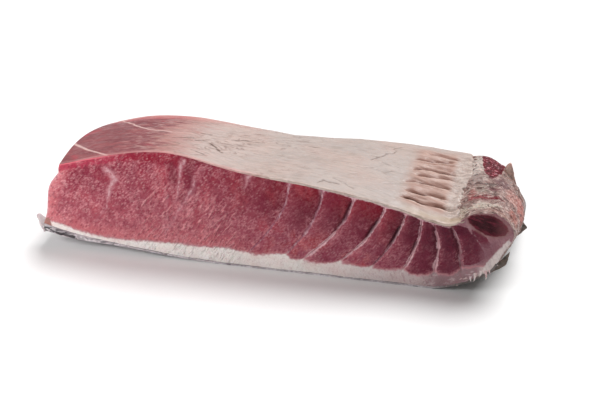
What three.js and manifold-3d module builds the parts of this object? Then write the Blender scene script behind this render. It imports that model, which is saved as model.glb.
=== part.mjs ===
// A raw tuna belly block: one thick cut across the belly wall of a large tuna, lying on its skin.
// X runs from the flank side (-X) to the belly edge (+X), Y from the front cut face to the back one,
// Z up. Millimetres, with the origin under the middle of the block.
import * as THREE from 'three';
import { mergeVertices } from 'three/addons/utils/BufferGeometryUtils.js';
import Module from 'manifold-3d';

const wasm = await Module();
wasm.setup();

// ---- driving dimensions, mm ------------------------------------------------------------------

const DEPTH = 130;             // front cut face to back cut face
const HUMP = 106;              // highest point, on the front face over the thick flank side
const REST_FROM = -43;         // the skin lies flat on the table between these two places in X
const REST_TO = 142;
const LIFT = 14.5;             // the flank end's skin is curled this far up off the table
const CROWN = 2.5;             // the lining stands this much above a straight line, front to back
const END_ROUND = 5;           // both ends are rounded by this much, front to back
const BACK_CORNER = 9;         // the lining's back corner is worn this far in from the flank end
const FLAKE_BULGE = 1.6;       // a muscle flake stands this proud of the seams round it
const FLAKE_FADE = [-58, 62];  // the flakes lie level with their seams before, and stand out after
const RIDGE_HEIGHT = 4.4;      // wrinkles pressed into the lining by the belly edge, crest above valley
const RIDGE_SPAN = [110, 120, 152, 164]; // wrinkles begin, are full, are full, have ended, in X
const RIDGE_ROWS = [1, 17];    // rows of the grid between which the crests and valleys alternate
const TORN_FROM = 162;         // past this place in X the top is torn tissue without lining
const TORN_DEPTH = 1.6;        // unevenness of the torn tissue

// Rows of the grid that carries the shape: along X (set by the seams), Y and Z.
const COLUMN = 7.4;            // widest column
const DEEP_ROWS = 18;
const HIGH_ROWS = 11;
const END_REACH = 12;          // power with which an end's own shape dies away along the block

// Myosepta, the pale seams between muscle flakes: X at the lining, X at the skin, how far the seam
// bows towards the belly edge half way up, and how steeply it leaves the skin (1 is straight).
const SEAMS = [
  [-192, -213, 0, 1], [-151, -166, 4, 1.2], [-108, -127, 4, 1.3], [-76, -104, 4, 1.4],
  [-48, -84, 3, 1.5], [-16, -56, 2, 1.7], [19, -34, 0, 1.8], [48, -3, 0, 1.9], [76, 14, 0, 1.7],
  [102, 45, 0, 1.7], [120, 78, 0, 1.7], [134, 110, 0, 2], [145, 144, 2, 1.2], [159, 170, -3, 1],
  [173, 176, 0, 1], [197, 180, 0, 1],
];

// Outlines of the front and back cut faces, as [X, Z] from the flank side to the belly edge.
const LINING_FRONT = [
  [-192, 84], [-158, 94.5], [-93, HUMP], [-26, 95], [45, 88], [115, 75], [142, 67.5], [162, 66],
  [178, 77], [197, 80],
];
const LINING_BACK = [
  [-193, 70], [-148, 80], [-98, 82.5], [-43, 77.5], [7, 74.5], [77, 77], [127, 74.5], [162, 72],
  [180, 70], [190, 64],
];
const SKIN_FRONT = [
  [-213, LIFT], [-194, 10.5], [-140, 6.8], [-88, 2.2], [REST_FROM, 0], [REST_TO, 0], [161, 3.6],
  [180, 11.5],
];
const SKIN_BACK = [
  [-211, LIFT], [-194, 10.5], [-140, 6.4], [-88, 2.2], [REST_FROM, 0], [REST_TO, 0], [172, 0.6],
  [194, 3.5],
];

// Outlines of the two ends, from the skin up to the lining.
const FLANK_FRONT = [[-213, LIFT], [-209, 38], [-203, 60], [-197.5, 72], [-192, 84]];
const FLANK_BACK = [[-211, LIFT], [-207, 40], [-201, 57], [-193, 70]];
const EDGE_FRONT = [[180, 11.5], [197, 24], [205, 42], [213, 58], [209, 71], [197, 80]];
const EDGE_BACK = [[194, 3.5], [211, 13], [215, 25], [206, 41], [197, 55], [190, 64]];

// Ragged flaps left by the knife, each a thin bent leaf: root, tip, width at the root, thickness.
const FLAPS = [
  { root: [-209, -60, 14], tip: [-218.5, -62.5, 31], width: 11, thick: 1.6, across: [0.35, 1, 0] },
  { root: [194, 52, 52], tip: [198, 50, 74], width: 16, thick: 4.4, across: [0.9, 0.3, -0.3] },
  { root: [205, 4, 31], tip: [220, 6, 33], width: 30, thick: 2.4, across: [-0.1, 1, 0] },
  { root: [194, -50, 26], tip: [208, -42, 21], width: 26, thick: 2.6, across: [0.27, 0.95, 0.1] },
];

// ---- small helpers ---------------------------------------------------------------------------

const { clamp, lerp, smoothstep } = THREE.MathUtils;

/** A smooth height over X through a few [X, Z] points. */
function profile(points) {
  const at = points.map((point) => point[0]);
  const height = points.map((point) => point[1]);
  const smooth = new THREE.CubicInterpolant(at, height, 1);
  return (x) => smooth.evaluate(clamp(x, at[0], at.at(-1)))[0];
}

/** A smooth curve through a few [X, Z] points, from its start (0) to its end (1). */
function outline(points) {
  const curve = new THREE.SplineCurve(points.map(([x, z]) => new THREE.Vector2(x, z)));
  return (t) => curve.getPoint(t);
}

/** Rises from 0 to 1 and falls back to 0 over the four places given. */
function plateau(x, [from, full, last, to]) {
  return smoothstep(x, from, full) * (1 - smoothstep(x, last, to));
}

/** A repeatable number between -1 and 1 for a place, for the rough torn tissue. */
function rough(x, y, z) {
  const wave = Math.sin(x * 12.9898 + y * 78.233 + z * 37.719) * 43758.5453;
  return 2 * (wave - Math.floor(wave)) - 1;
}

// ---- the columns: their places follow the seams -------------------------------------------------

/** Splits each flake into equal columns; a column also knows how far across its flake it lies. */
function seamColumns() {
  const columns = [];
  for (let flake = 0; flake < SEAMS.length - 1; flake += 1) {
    const [here, next] = [SEAMS[flake], SEAMS[flake + 1]];
    const parts = Math.ceil(Math.max(next[0] - here[0], next[1] - here[1]) / COLUMN);
    for (let part = 0; part < parts; part += 1) {
      const across = part / parts;
      const [top, bottom, bow, sweep] = here.map((value, n) => lerp(value, next[n], across));
      columns.push({ top, bottom, bow, sweep, across });
    }
  }
  const [top, bottom, bow, sweep] = SEAMS.at(-1);
  columns.push({ top, bottom, bow, sweep, across: 0 });
  return columns;
}

// ---- the block -------------------------------------------------------------------------------

const liningFront = profile(LINING_FRONT);
const liningBack = profile(LINING_BACK);
const skinFront = profile(SKIN_FRONT);
const skinBack = profile(SKIN_BACK);
const flankFront = outline(FLANK_FRONT);
const flankBack = outline(FLANK_BACK);
const edgeFront = outline(EDGE_FRONT);
const edgeBack = outline(EDGE_BACK);
const columns = seamColumns();

/** How far the end outline bulges from the straight line between its two ends. */
function endBulge(front, back, deep, high) {
  const point = front(high).lerp(back(high), deep);
  const foot = front(0).lerp(back(0), deep);
  const head = front(1).lerp(back(1), deep);
  return point.sub(foot.lerp(head, high));
}

/** Height of the lining over the table, without its wrinkles. */
function liningHeight(x, deep) {
  return lerp(liningFront(x), liningBack(x), deep) + CROWN * Math.sin(Math.PI * deep);
}

/** Height of the skin over the table: exactly 0 over the part that lies flat. */
function skinHeight(x, deep) {
  if (x >= REST_FROM && x <= REST_TO) return 0;
  return Math.max(0, lerp(skinFront(x), skinBack(x), deep));
}

/** The wrinkles: whole rows of the grid stand up and lie down in turn. */
function wrinkle(x, deepRow) {
  const [first, last] = RIDGE_ROWS;
  if (deepRow < first || deepRow > last) return 0;
  const crest = (deepRow - first) % 2 === 0 ? 0.5 : -0.5;
  return crest * RIDGE_HEIGHT * plateau(x, RIDGE_SPAN);
}

/** How far a cut face stands out of its plane: flakes bulge, seams lie back. */
function flakeRelief(column, x) {
  const arch = 1 - (2 * column.across - 1) ** 2;
  return FLAKE_BULGE * (arch - 1) * smoothstep(x, ...FLAKE_FADE);
}

/** How far the end faces stand out in X, besides their outlines. */
function endRound(along, deep, high) {
  const round = END_ROUND * Math.sin(Math.PI * deep);
  const corner = BACK_CORNER * high * deep ** 6;
  const flank = (high * round - corner) * (1 - along) ** END_REACH;
  const edge = Math.sin(Math.PI * high) * round * along ** END_REACH;
  return edge - flank;
}

/** Moves a point of the unit box to its place on the block. */
function place(i, j, k) {
  const along = i / (columns.length - 1);
  const deep = j / DEEP_ROWS;
  const high = k / HIGH_ROWS;
  const column = columns[i];
  const topX = column.top + deep * lerp(-1, -5, along);
  const footX = column.bottom + deep * lerp(2, 12, along ** 8);
  const bow = column.bow * Math.sin(Math.PI * high);
  const swept = 1 - (1 - high) ** column.sweep;
  const flank = endBulge(flankFront, flankBack, deep, high).multiplyScalar((1 - along) ** END_REACH);
  const edge = endBulge(edgeFront, edgeBack, deep, high).multiplyScalar(along ** END_REACH);
  let x = lerp(footX, topX, swept) + bow + flank.x + edge.x + endRound(along, deep, high);
  let z = lerp(skinHeight(footX, deep), liningHeight(topX, deep), high) + flank.y + edge.y;
  let y = lerp(-DEPTH / 2, DEPTH / 2, deep);
  if (j === 0) y -= flakeRelief(column, x);
  if (j === DEEP_ROWS) y += flakeRelief(column, x);
  if (k === HIGH_ROWS) z += wrinkle(x, j);
  if (k > 2 && x > TORN_FROM && j > 0 && j < DEEP_ROWS) {
    x += TORN_DEPTH * rough(i, j, k) * along ** 12;
    z += TORN_DEPTH * rough(k, i, j) * (k === HIGH_ROWS ? 1 : 0);
  }
  return [x, y, z];
}

/** The block as a closed grid: a box with a row or column of faces for each step. */
function blockGeometry() {
  const steps = columns.length - 1;
  const box = new THREE.BoxGeometry(1, 1, 1, steps, DEEP_ROWS, HIGH_ROWS);
  const geometry = onlyPositions(box);
  const position = geometry.getAttribute('position');
  for (let index = 0; index < position.count; index += 1) {
    const i = Math.round((position.getX(index) + 0.5) * steps);
    const j = Math.round((position.getY(index) + 0.5) * DEEP_ROWS);
    const k = Math.round((position.getZ(index) + 0.5) * HIGH_ROWS);
    position.setXYZ(index, ...place(i, j, k));
  }
  return geometry;
}

// ---- the ragged flaps ----------------------------------------------------------------------------

/** A leaf that tapers from its root to its tip, extruded to its thickness. */
function flapGeometry({ root, tip, width, thick, across }) {
  const foot = new THREE.Vector3(...root);
  const rise = new THREE.Vector3(...tip).sub(foot);
  const length = rise.length();
  const leaf = new THREE.Shape();
  leaf.moveTo(-width / 2, 0);
  leaf.quadraticCurveTo(-width / 4, length * 0.7, 0, length);
  leaf.quadraticCurveTo(width / 3, length * 0.4, width / 2, 0);
  leaf.closePath();
  const geometry = new THREE.ExtrudeGeometry(leaf, { depth: thick, bevelEnabled: false, curveSegments: 5 });
  geometry.translate(0, 0, -thick / 2);
  const up = rise.normalize();
  const face = new THREE.Vector3(...across).cross(up).normalize();
  const side = new THREE.Vector3().crossVectors(up, face);
  const turn = new THREE.Matrix4().makeBasis(side, up, face).setPosition(foot);
  return onlyPositions(geometry.applyMatrix4(turn));
}

// ---- joining -------------------------------------------------------------------------------------

/** A geometry with merged corners and nothing but positions. */
function onlyPositions(geometry) {
  geometry.deleteAttribute('normal');
  geometry.deleteAttribute('uv');
  return mergeVertices(geometry, 1e-4);
}

function solid(geometry) {
  const vertProperties = new Float32Array(geometry.getAttribute('position').array);
  const triVerts = new Uint32Array(geometry.index.array);
  return new wasm.Manifold(new wasm.Mesh({ numProp: 3, vertProperties, triVerts }));
}

function geometryOf(manifold) {
  const mesh = manifold.getMesh();
  const geometry = new THREE.BufferGeometry();
  geometry.setAttribute('position', new THREE.BufferAttribute(mesh.vertProperties, 3));
  geometry.setIndex(new THREE.BufferAttribute(mesh.triVerts, 1));
  return geometry;
}

/** Puts the middle of the box that holds the block over the origin. */
function centred(geometry) {
  geometry.computeBoundingBox();
  const middle = geometry.boundingBox.getCenter(new THREE.Vector3());
  geometry.translate(-middle.x, -middle.y, -geometry.boundingBox.min.z);
  geometry.computeVertexNormals();
  return geometry;
}

function bellyBlock() {
  const whole = FLAPS.map(flapGeometry).reduce(
    (block, flap) => block.add(solid(flap)),
    solid(blockGeometry()),
  );
  const flesh = new THREE.MeshStandardMaterial({ color: 0x9c5560, roughness: 0.45, metalness: 0 });
  const mesh = new THREE.Mesh(centred(geometryOf(whole)), flesh);
  mesh.name = 'tuna_belly';
  return mesh;
}

const group = new THREE.Group();
group.add(bellyBlock());

export default group;
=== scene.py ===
# %% [markdown]
# # A raw tuna belly block
# The belly wall of a big tuna is cut across the fish into thick blocks. One block lies on its skin:
# silver skin and a band of white fat below, red flesh in the middle, and on top the pale smooth lining
# of the belly. Muscle flakes with pale seams between them show on the cut faces.
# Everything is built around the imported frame. Places are given in millimetres and set in metres.

# %% Start: load the frame and keep its size
import math

import bpy
import numpy as np
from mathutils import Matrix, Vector, noise


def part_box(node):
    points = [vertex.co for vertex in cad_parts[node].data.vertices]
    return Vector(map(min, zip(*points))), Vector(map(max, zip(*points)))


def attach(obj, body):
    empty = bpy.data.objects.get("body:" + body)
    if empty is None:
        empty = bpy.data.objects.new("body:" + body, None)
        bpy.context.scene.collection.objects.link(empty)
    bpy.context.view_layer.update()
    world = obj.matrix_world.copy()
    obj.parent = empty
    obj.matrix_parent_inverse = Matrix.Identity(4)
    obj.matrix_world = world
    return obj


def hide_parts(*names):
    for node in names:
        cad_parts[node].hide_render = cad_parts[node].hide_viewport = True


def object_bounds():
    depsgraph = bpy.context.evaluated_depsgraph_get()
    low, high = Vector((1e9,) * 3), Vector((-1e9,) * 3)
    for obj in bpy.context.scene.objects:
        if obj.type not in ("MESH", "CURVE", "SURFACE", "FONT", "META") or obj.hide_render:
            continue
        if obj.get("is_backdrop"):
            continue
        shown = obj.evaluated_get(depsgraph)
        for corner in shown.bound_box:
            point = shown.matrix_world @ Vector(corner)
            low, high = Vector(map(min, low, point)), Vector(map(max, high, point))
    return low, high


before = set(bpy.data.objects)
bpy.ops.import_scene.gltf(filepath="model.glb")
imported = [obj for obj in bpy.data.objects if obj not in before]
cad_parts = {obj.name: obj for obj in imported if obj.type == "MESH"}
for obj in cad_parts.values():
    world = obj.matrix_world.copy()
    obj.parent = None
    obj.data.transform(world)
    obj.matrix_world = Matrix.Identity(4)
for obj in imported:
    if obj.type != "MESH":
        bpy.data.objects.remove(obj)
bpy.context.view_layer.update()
block_low, block_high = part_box("tuna_belly")
MM = 0.001
X, Y, Z = 0, 1, 2
print("frame box in mm:", [round(v / MM, 1) for v in (*block_low, *block_high)])


def select_only(*pieces):
    """Selects these pieces, or nothing, and makes the first the active one.

    Operators act on what is selected, and the frame's own nodes start out selected.
    """
    if bpy.context.object and bpy.context.object.mode != "OBJECT":
        bpy.ops.object.mode_set(mode="OBJECT")
    bpy.ops.object.select_all(action="DESELECT")
    for piece in reversed(pieces):
        piece.select_set(True)
        bpy.context.view_layer.objects.active = piece

# %% [markdown]
# ## The form of the block
# A lump of meat has no straight edges to extrude, so its form is a box whose points are moved to
# their places by a rule. The rule has four outlines: the lining and the skin seen from the front, and
# the two ends. Each outline is known at the front cut and at the back cut and blends between them.
# The same outlines shaped the frame, so the fine surface made here lies on the frame's own surface.

# %% Named sizes, in millimetres
HALF_DEPTH = 65.0                 # the cut faces lie this far either side of the middle
DEPTH = 2 * HALF_DEPTH
REST_FROM, REST_TO = -43.0, 142.0  # the skin lies flat on the table between these places
CROWN = 2.5                       # the lining rises this much between the two cut faces
END_ROUND = 5.0                   # both ends are rounded by this much, front to back
BACK_CORNER = 9.0                 # the lining's back corner is worn in by this much
FRAME_COLUMN = 7.4                # widest column of the frame's own grid
END_REACH = 12                    # power with which an end's shape dies away along the block

# The pale seams between the flakes: X at the lining, X at the skin, how far the seam bows towards
# the belly edge half way up, and how steeply it leaves the skin (1 is straight, more is a sweep).
SEAMS = [
    (-192, -213, 0, 1), (-151, -166, 4, 1.2), (-108, -127, 4, 1.3), (-76, -104, 4, 1.4),
    (-48, -84, 3, 1.5), (-16, -56, 2, 1.7), (19, -34, 0, 1.8), (48, -3, 0, 1.9), (76, 14, 0, 1.7),
    (102, 45, 0, 1.7), (120, 78, 0, 1.7), (134, 110, 0, 2), (145, 144, 2, 1.2), (159, 170, -3, 1),
    (173, 176, 0, 1), (197, 180, 0, 1),
]
SEAM_TOP, SEAM_FOOT, SEAM_BOW, SEAM_SWEEP = np.array(SEAMS, float).T

LINING_FRONT = [
    (-192, 84), (-158, 94.5), (-93, 106), (-26, 95), (45, 88), (115, 75), (142, 67.5),
    (162, 66), (178, 77), (197, 80),
]
LINING_BACK = [
    (-193, 70), (-148, 80), (-98, 82.5), (-43, 77.5), (7, 74.5), (77, 77), (127, 74.5),
    (162, 72), (180, 70), (190, 64),
]
SKIN_FRONT = [
    (-213, 14.5), (-194, 10.5), (-140, 6.8), (-88, 2.2), (REST_FROM, 0), (REST_TO, 0),
    (161, 3.6), (180, 11.5),
]
SKIN_BACK = [
    (-211, 14.5), (-194, 10.5), (-140, 6.4), (-88, 2.2), (REST_FROM, 0), (REST_TO, 0),
    (172, 0.6), (194, 3.5),
]
FLANK_FRONT = [(-213, 14.5), (-209, 38), (-203, 60), (-197.5, 72), (-192, 84)]
FLANK_BACK = [(-211, 14.5), (-207, 40), (-201, 57), (-193, 70)]
EDGE_FRONT = [(180, 11.5), (197, 24), (205, 42), (213, 58), (209, 71), (197, 80)]
EDGE_BACK = [(194, 3.5), (211, 13), (215, 25), (206, 41), (197, 55), (190, 64)]
print("seams:", len(SEAMS), "from", SEAM_FOOT.min(), "to", SEAM_TOP.max(), "mm along the block")

# %% Curves through a few points
def rise(x, start, end):
    """0 before start, 1 past end, smooth between them. Start may be past end."""
    t = np.clip((np.asarray(x, float) - start) / (end - start), 0, 1)
    return t * t * (3 - 2 * t)


def hump(x, start, full, last, end):
    """Rises from 0 to 1 between start and full, and falls back between last and end."""
    return rise(x, start, full) * (1 - rise(x, last, end))


def smooth(points):
    """A function that runs smoothly through (place, value) points, and is level past both ends."""
    at, value = np.array(points, float).T
    slope = np.gradient(value, at)

    def read(x):
        x = np.clip(x, at[0], at[-1])
        i = np.clip(np.searchsorted(at, x, side="right") - 1, 0, len(at) - 2)
        step = at[i + 1] - at[i]
        t = (x - at[i]) / step
        ends = value[i] * (1 + 2 * t) * (1 - t) ** 2 + value[i + 1] * t * t * (3 - 2 * t)
        return ends + step * (slope[i] * t * (1 - t) ** 2 - slope[i + 1] * t * t * (1 - t))

    return read


def outline(points):
    """A smooth curve through (x, z) points, read by how far along it lies, from 0 to 1."""
    step = np.linspace(0, 1, len(points))
    x, z = (smooth(np.column_stack([step, axis])) for axis in np.array(points, float).T)
    return lambda t: np.stack([x(t), z(t)])


def ripple(points, size, seed=0.0, octaves=2):
    """Smooth repeatable noise, about -1 to 1, with lumps of the given size in mm."""
    shift = Vector((seed * 17.3, seed * 5.1, seed * 11.7))
    return np.array([noise.fractal(Vector(p) / size + shift, 1.0, 2.0, octaves) for p in points])


lining_front, lining_back = smooth(LINING_FRONT), smooth(LINING_BACK)
skin_front, skin_back = smooth(SKIN_FRONT), smooth(SKIN_BACK)
flank_front, flank_back = outline(FLANK_FRONT), outline(FLANK_BACK)
edge_front, edge_back = outline(EDGE_FRONT), outline(EDGE_BACK)

# %% Where the seams lie along the block
flake_width = np.maximum(np.diff(SEAM_TOP), np.diff(SEAM_FOOT))
seam_along = np.concatenate([[0], np.cumsum(np.ceil(flake_width / FRAME_COLUMN))])
seam_along /= seam_along[-1]
FLAKES = len(flake_width)
print("flakes:", FLAKES, "widest", flake_width.max(), "mm, narrowest", flake_width.min(), "mm")


def at_flake(flake, seam_values):
    """A value known at every seam, read at a flake number: 2.5 is half way across the third flake."""
    return np.interp(flake, range(FLAKES + 1), seam_values)

# %% The rule that places a point of the block
def end_bulge(front, back, deep, high):
    """How far an end's outline stands off the straight line between its foot and its head."""
    point = front(high) * (1 - deep) + back(high) * deep
    foot = front(0)[:, None] * (1 - deep) + back(0)[:, None] * deep
    head = front(1)[:, None] * (1 - deep) + back(1)[:, None] * deep
    return point - foot * (1 - high) - head * high


def lining_height(x, deep):
    return lining_front(x) * (1 - deep) + lining_back(x) * deep + CROWN * np.sin(np.pi * deep)


def skin_height(x, deep):
    height = skin_front(x) * (1 - deep) + skin_back(x) * deep
    return np.where((x >= REST_FROM) & (x <= REST_TO), 0, np.maximum(height, 0))


def block_point(flake, deep, high):
    """The place in mm of a point of the block: flake number, front to back, skin to lining."""
    high = high + 0 * flake
    along = at_flake(flake, seam_along)
    top_x = at_flake(flake, SEAM_TOP) - deep * (1 + 4 * along)
    foot_x = at_flake(flake, SEAM_FOOT) + deep * (2 + 10 * along**8)
    flank = end_bulge(flank_front, flank_back, deep, high) * (1 - along) ** END_REACH
    edge = end_bulge(edge_front, edge_back, deep, high) * along**END_REACH
    bow = at_flake(flake, SEAM_BOW) * np.sin(np.pi * high)
    swept = 1 - (1 - high) ** at_flake(flake, SEAM_SWEEP)
    rounding = END_ROUND * np.sin(np.pi * deep)
    flank_out = (high * rounding - BACK_CORNER * high * deep**6) * (1 - along) ** END_REACH
    edge_out = np.sin(np.pi * high) * rounding * along**END_REACH
    x = foot_x * (1 - swept) + top_x * swept + bow + flank[0] + edge[0] + edge_out - flank_out
    z = skin_height(foot_x, deep) * (1 - high) + lining_height(top_x, deep) * high
    y = HALF_DEPTH * (2 * deep - 1)
    return np.stack([x, y + 0 * x, z + flank[1] + edge[1]], axis=-1)

# %% [markdown]
# ## A box of even faces to move about
# A cube is added and its edges are subdivided one direction at a time: first the four edges along X,
# then all those along Y, then those along Z. That gives a closed box with as many rows as are wanted
# each way and no face inside. Each corner's place in the box is kept before it is moved, so later
# steps can still ask which side a face belongs to.

# %% Points of a piece, read and moved
def vertex_places(piece):
    """Every vertex place of a piece as an array, one row a vertex."""
    place = np.empty(len(piece.data.vertices) * 3)
    piece.data.vertices.foreach_get("co", place)
    return place.reshape(-1, 3)


def set_places(piece, places_mm):
    """Moves every vertex of a piece to its place, given in millimetres."""
    piece.data.vertices.foreach_set("co", (places_mm * MM).ravel())
    piece.data.update()


def keep_values(piece, **values):
    """Keeps one number for each vertex under each name, for the materials to read."""
    for name, value in values.items():
        layer = piece.data.attributes.new(name, "FLOAT", "POINT")
        layer.data.foreach_set("value", value.astype(np.float32))


def report(piece):
    """Prints a piece's triangles and the box it fills."""
    corners = vertex_places(piece) / MM
    piece.data.calc_loop_triangles()
    print(piece.name, "triangles", len(piece.data.loop_triangles), "box mm",
          corners.min(0).round(1).tolist(), corners.max(0).round(1).tolist())

# %% The box maker
MOST_PIECES = 101             # one subdivide cuts an edge into at most this many
SAME_PLACE = 1e-5             # an edge shorter than this along an axis doesn't run along it


def select_edges_along(box, axis):
    """Selects the edges that run along one axis. It starts and ends in edit mode."""
    bpy.ops.mesh.select_all(action="DESELECT")
    bpy.ops.object.mode_set(mode="OBJECT")
    ends = np.empty(len(box.data.edges) * 2, int)
    box.data.edges.foreach_get("vertices", ends)
    start, end = vertex_places(box)[ends.reshape(-1, 2)].transpose(1, 0, 2)
    box.data.edges.foreach_set("select", np.abs(end - start)[:, axis] > SAME_PLACE)
    bpy.ops.object.mode_set(mode="EDIT")


def box_of_rows(name, rows):
    """A closed unit box with rows[0] x rows[1] x rows[2] faces along X, Y and Z, and its grid places."""
    select_only()
    bpy.ops.mesh.primitive_cube_add(size=1, location=(0.5, 0.5, 0.5))
    box = bpy.context.object
    box.name = box.data.name = name
    bpy.ops.object.transform_apply(location=True, rotation=True, scale=True)
    bpy.ops.object.mode_set(mode="EDIT")
    bpy.ops.mesh.select_mode(type="EDGE")
    for axis, count in enumerate(rows):
        first = next(n for n in range(1, count + 1) if count % n == 0 and count // n <= MOST_PIECES)
        for pieces in (first, count // first):
            if pieces > 1:
                select_edges_along(box, axis)
                bpy.ops.mesh.subdivide(number_cuts=pieces - 1)
    bpy.ops.object.mode_set(mode="OBJECT")
    return box, np.clip(vertex_places(box), 0, 1)


def uneven(grid_value, places):
    """Turns an even 0..1 grid coordinate into one with its rows at the given places."""
    return np.interp(grid_value, np.linspace(0, 1, len(places)), places)

# %% [markdown]
# ## Flakes, seams and crevices
# The flesh is made of flakes, sheets of muscle that stand nearly upright. On the cut faces each flake
# swells a little and the thin seam of white tissue round it lies back. Towards the belly edge some
# seams have torn open to a dark crevice. The columns of the box are packed closely at the seams, so
# that these narrow grooves are real shape.

# %% What the cut faces look like, in numbers
COLUMN = 1.7                 # widest fine column, mm
SEAM_CROWDING = 0.62         # 0 for even columns, towards 1 for columns crowded at the seams
FLAKE_BULGE = 1.5            # a flake's middle stands this proud of its seams
SEAM_GROOVE = 0.8            # the seam's own narrow groove
# A crevice: flake number of its seam, lowest and highest part of the face, depth and width in mm.
CREVICES = [
    (8, 0.5, 0.98, 2.4, 2.0), (9, 0.42, 0.85, 2.8, 1.5),
    (10, 0.4, 0.84, 3.4, 1.2), (11, 0.35, 0.7, 2.6, 1.1), (12, 0.3, 0.95, 1.2, 1.1),
    (13, 0.3, 0.95, 1.2, 1.1),
]
DEEPEST_CREVICE = 3.4
# How far the flank's cut face stands back, in mm, from the skin (0) up to the lining (1).
FLANK_SHAPE = smooth([
    (0, 0), (0.09, 0.8), (0.21, 1.4), (0.33, 0.0), (0.45, -1.5), (0.57, -1.2), (0.7, 1.0), (0.78, 1.9),
    (0.9, 0.0), (1, -1.0),
])
# How strongly each seam shows as a pale line, from the skin up to the lining, for the seams from the
# sixth on. The seams before it are lost among the marbling.
SEAM_STRENGTH = [
    (0.05, 0.1, 0.1, 0.1, 0.3), (0.25, 0.35, 0.35, 0.3, 0.5), (0.7, 0.95, 1.0, 0.5, 0.8),
    (0.35, 0.6, 1.0, 0.6, 0.8), (0.25, 0.35, 0.45, 0.95, 0.5), (0.9, 1.0, 0.9, 0.6, 0.8),
    (1.0, 1.0, 0.9, 0.8, 0.7), (0.6, 0.6, 0.55, 0.6, 0.7),
]
FIRST_SHOWN = 6
LAST_SEAM = 13.35            # past this flake number the end is one mass, with no seam across it

# %% The fine columns and the relief of the cut faces
def flake_columns():
    """Flake numbers of the fine columns, crowded towards each seam."""
    columns = []
    for flake, width in enumerate(flake_width):
        count = 3 * math.ceil(width / COLUMN / 3)
        even = np.arange(count) / count
        columns.append(flake + even - SEAM_CROWDING * np.sin(2 * np.pi * even) / (2 * np.pi))
    return np.concatenate(columns + [[FLAKES]])


def flakes_show(x):
    """0 on the finely marbled flank side, 1 where the flakes stand apart."""
    return rise(x, -75, 45)


def seam_strength(flake, high):
    """How pale the nearest seam is at a point of a cut face: 0 where it is lost in the marbling."""
    nearest = np.round(flake).astype(int)
    strength = 0 * flake
    for seam, levels in enumerate(SEAM_STRENGTH, FIRST_SHOWN):
        strength += (nearest == seam) * np.interp(high, np.linspace(0, 1, len(levels)), levels)
    return strength


def crevice_depth(flake, high):
    """Depth in mm of the torn-open seams at a point of a cut face. They open on the flank side."""
    depth = 0 * flake
    for seam, low, top, deepest, width in CREVICES:
        off = (flake - seam) * (SEAM_TOP[seam] - SEAM_TOP[seam - 1]) + width
        open_part = hump(high, low, low + 0.2, top - 0.12, top)
        depth += deepest * open_part * np.exp(-((off / width) ** 2))
    return depth


def cut_relief(flake, high, x):
    """How far, in mm, a cut face stands behind the plane of the knife."""
    across = flake % 1
    from_seam = np.minimum(across, 1 - across) * np.interp(flake, range(FLAKES), flake_width)
    clear = 0.15 + 0.85 * rise(flake, 6.5, 8)
    swell = FLAKE_BULGE * (2 * across - 1) ** 4
    groove = SEAM_GROOVE * np.exp(-((from_seam / 0.9) ** 2))
    apart = flakes_show(x) * (1 - rise(flake, LAST_SEAM - 0.3, LAST_SEAM))
    return (swell + groove) * clear * apart * hump(high, 0.12, 0.3, 0.94, 1)


columns = flake_columns()
print("fine columns:", len(columns))

# %% [markdown]
# ## The body of flesh
# The body fills the block from just above the skin to just below the lining. Its front and back are
# cut faces, its flank end is a cut face too, and its belly edge is torn tissue with no clean cut.

# %% Layer thicknesses, in mm
def skin_thickness(x):
    """The skin is a leathery 2 mm, and thicker where it curls up at the flank corner."""
    return 1.9 + 5.2 * (1 - rise(x, -214, -125))


def lining_thickness(x):
    """The lining is a film on the flank side, and a firm sheet towards the belly edge."""
    return 0.7 + 1.9 * rise(x, -130, 60) - 1.9 * rise(x, 158, 172)


SKIN_EDGE_FRONT, SKIN_EDGE_BACK = 0.25, 0.5    # how far the skin climbs the belly edge
TUCK = 3.0                                     # hidden flesh keeps this far under the lining
BACK_TUCK = 1.8                                # and this much further along the back cut
OVERLAP = 0.3                                  # the flesh reaches this far into the skin
CLEAR_OF_SKIN = 1.6                            # and keeps this clear of it up the belly edge
LAYER_POWER = 6                                # room for a layer is made this close to it
TORN_FROM, TORN_FULL = 158, 168                # the top turns to torn tissue between these places


def skin_climb(deep):
    return SKIN_EDGE_FRONT + (SKIN_EDGE_BACK - SKIN_EDGE_FRONT) * rise(deep, -0.4, 1)

# %% Shape the body
DEEP_ROWS, HIGH_ROWS = 78, 60
SLOW_WOBBLE = 1.4                         # the flakes wander this much along the block
FINE_BUMPS, WIDE_BUMPS = 0.35, 0.5        # unevenness of the cut faces

body, grid = box_of_rows("tuna_flesh", (len(columns) - 1, DEEP_ROWS, HIGH_ROWS))
flake, deep, high = uneven(grid[:, 0], columns), grid[:, 1], grid[:, 2]
place = block_point(flake, deep, high)

on_top, on_end = 1.0 * (high == 1), 1.0 * (flake == FLAKES)
torn_top = rise(place[:, 0], TORN_FROM, TORN_FULL) * on_top

# Room for the lining above and the skin below.
margin = hump(deep, 0, 0.04, 0.96, 1) * rise(flake, 0, 0.4)
lower = lining_thickness(place[:, 0]) + TUCK * margin * (1 - rise(place[:, 0], 150, 166))
lower += BACK_TUCK * rise(deep, 0.92, 1) * hump(place[:, 0], -120, -80, 150, 160)
place[:, 2] -= lower * high**LAYER_POWER
place[:, 2] += (skin_thickness(place[:, 0]) - OVERLAP) * (1 - high) ** LAYER_POWER
above_skin = rise(high, skin_climb(deep) - 0.05, skin_climb(deep) + 0.02)
place[:, 0] -= on_end * CLEAR_OF_SKIN * (1 - above_skin)

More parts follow.
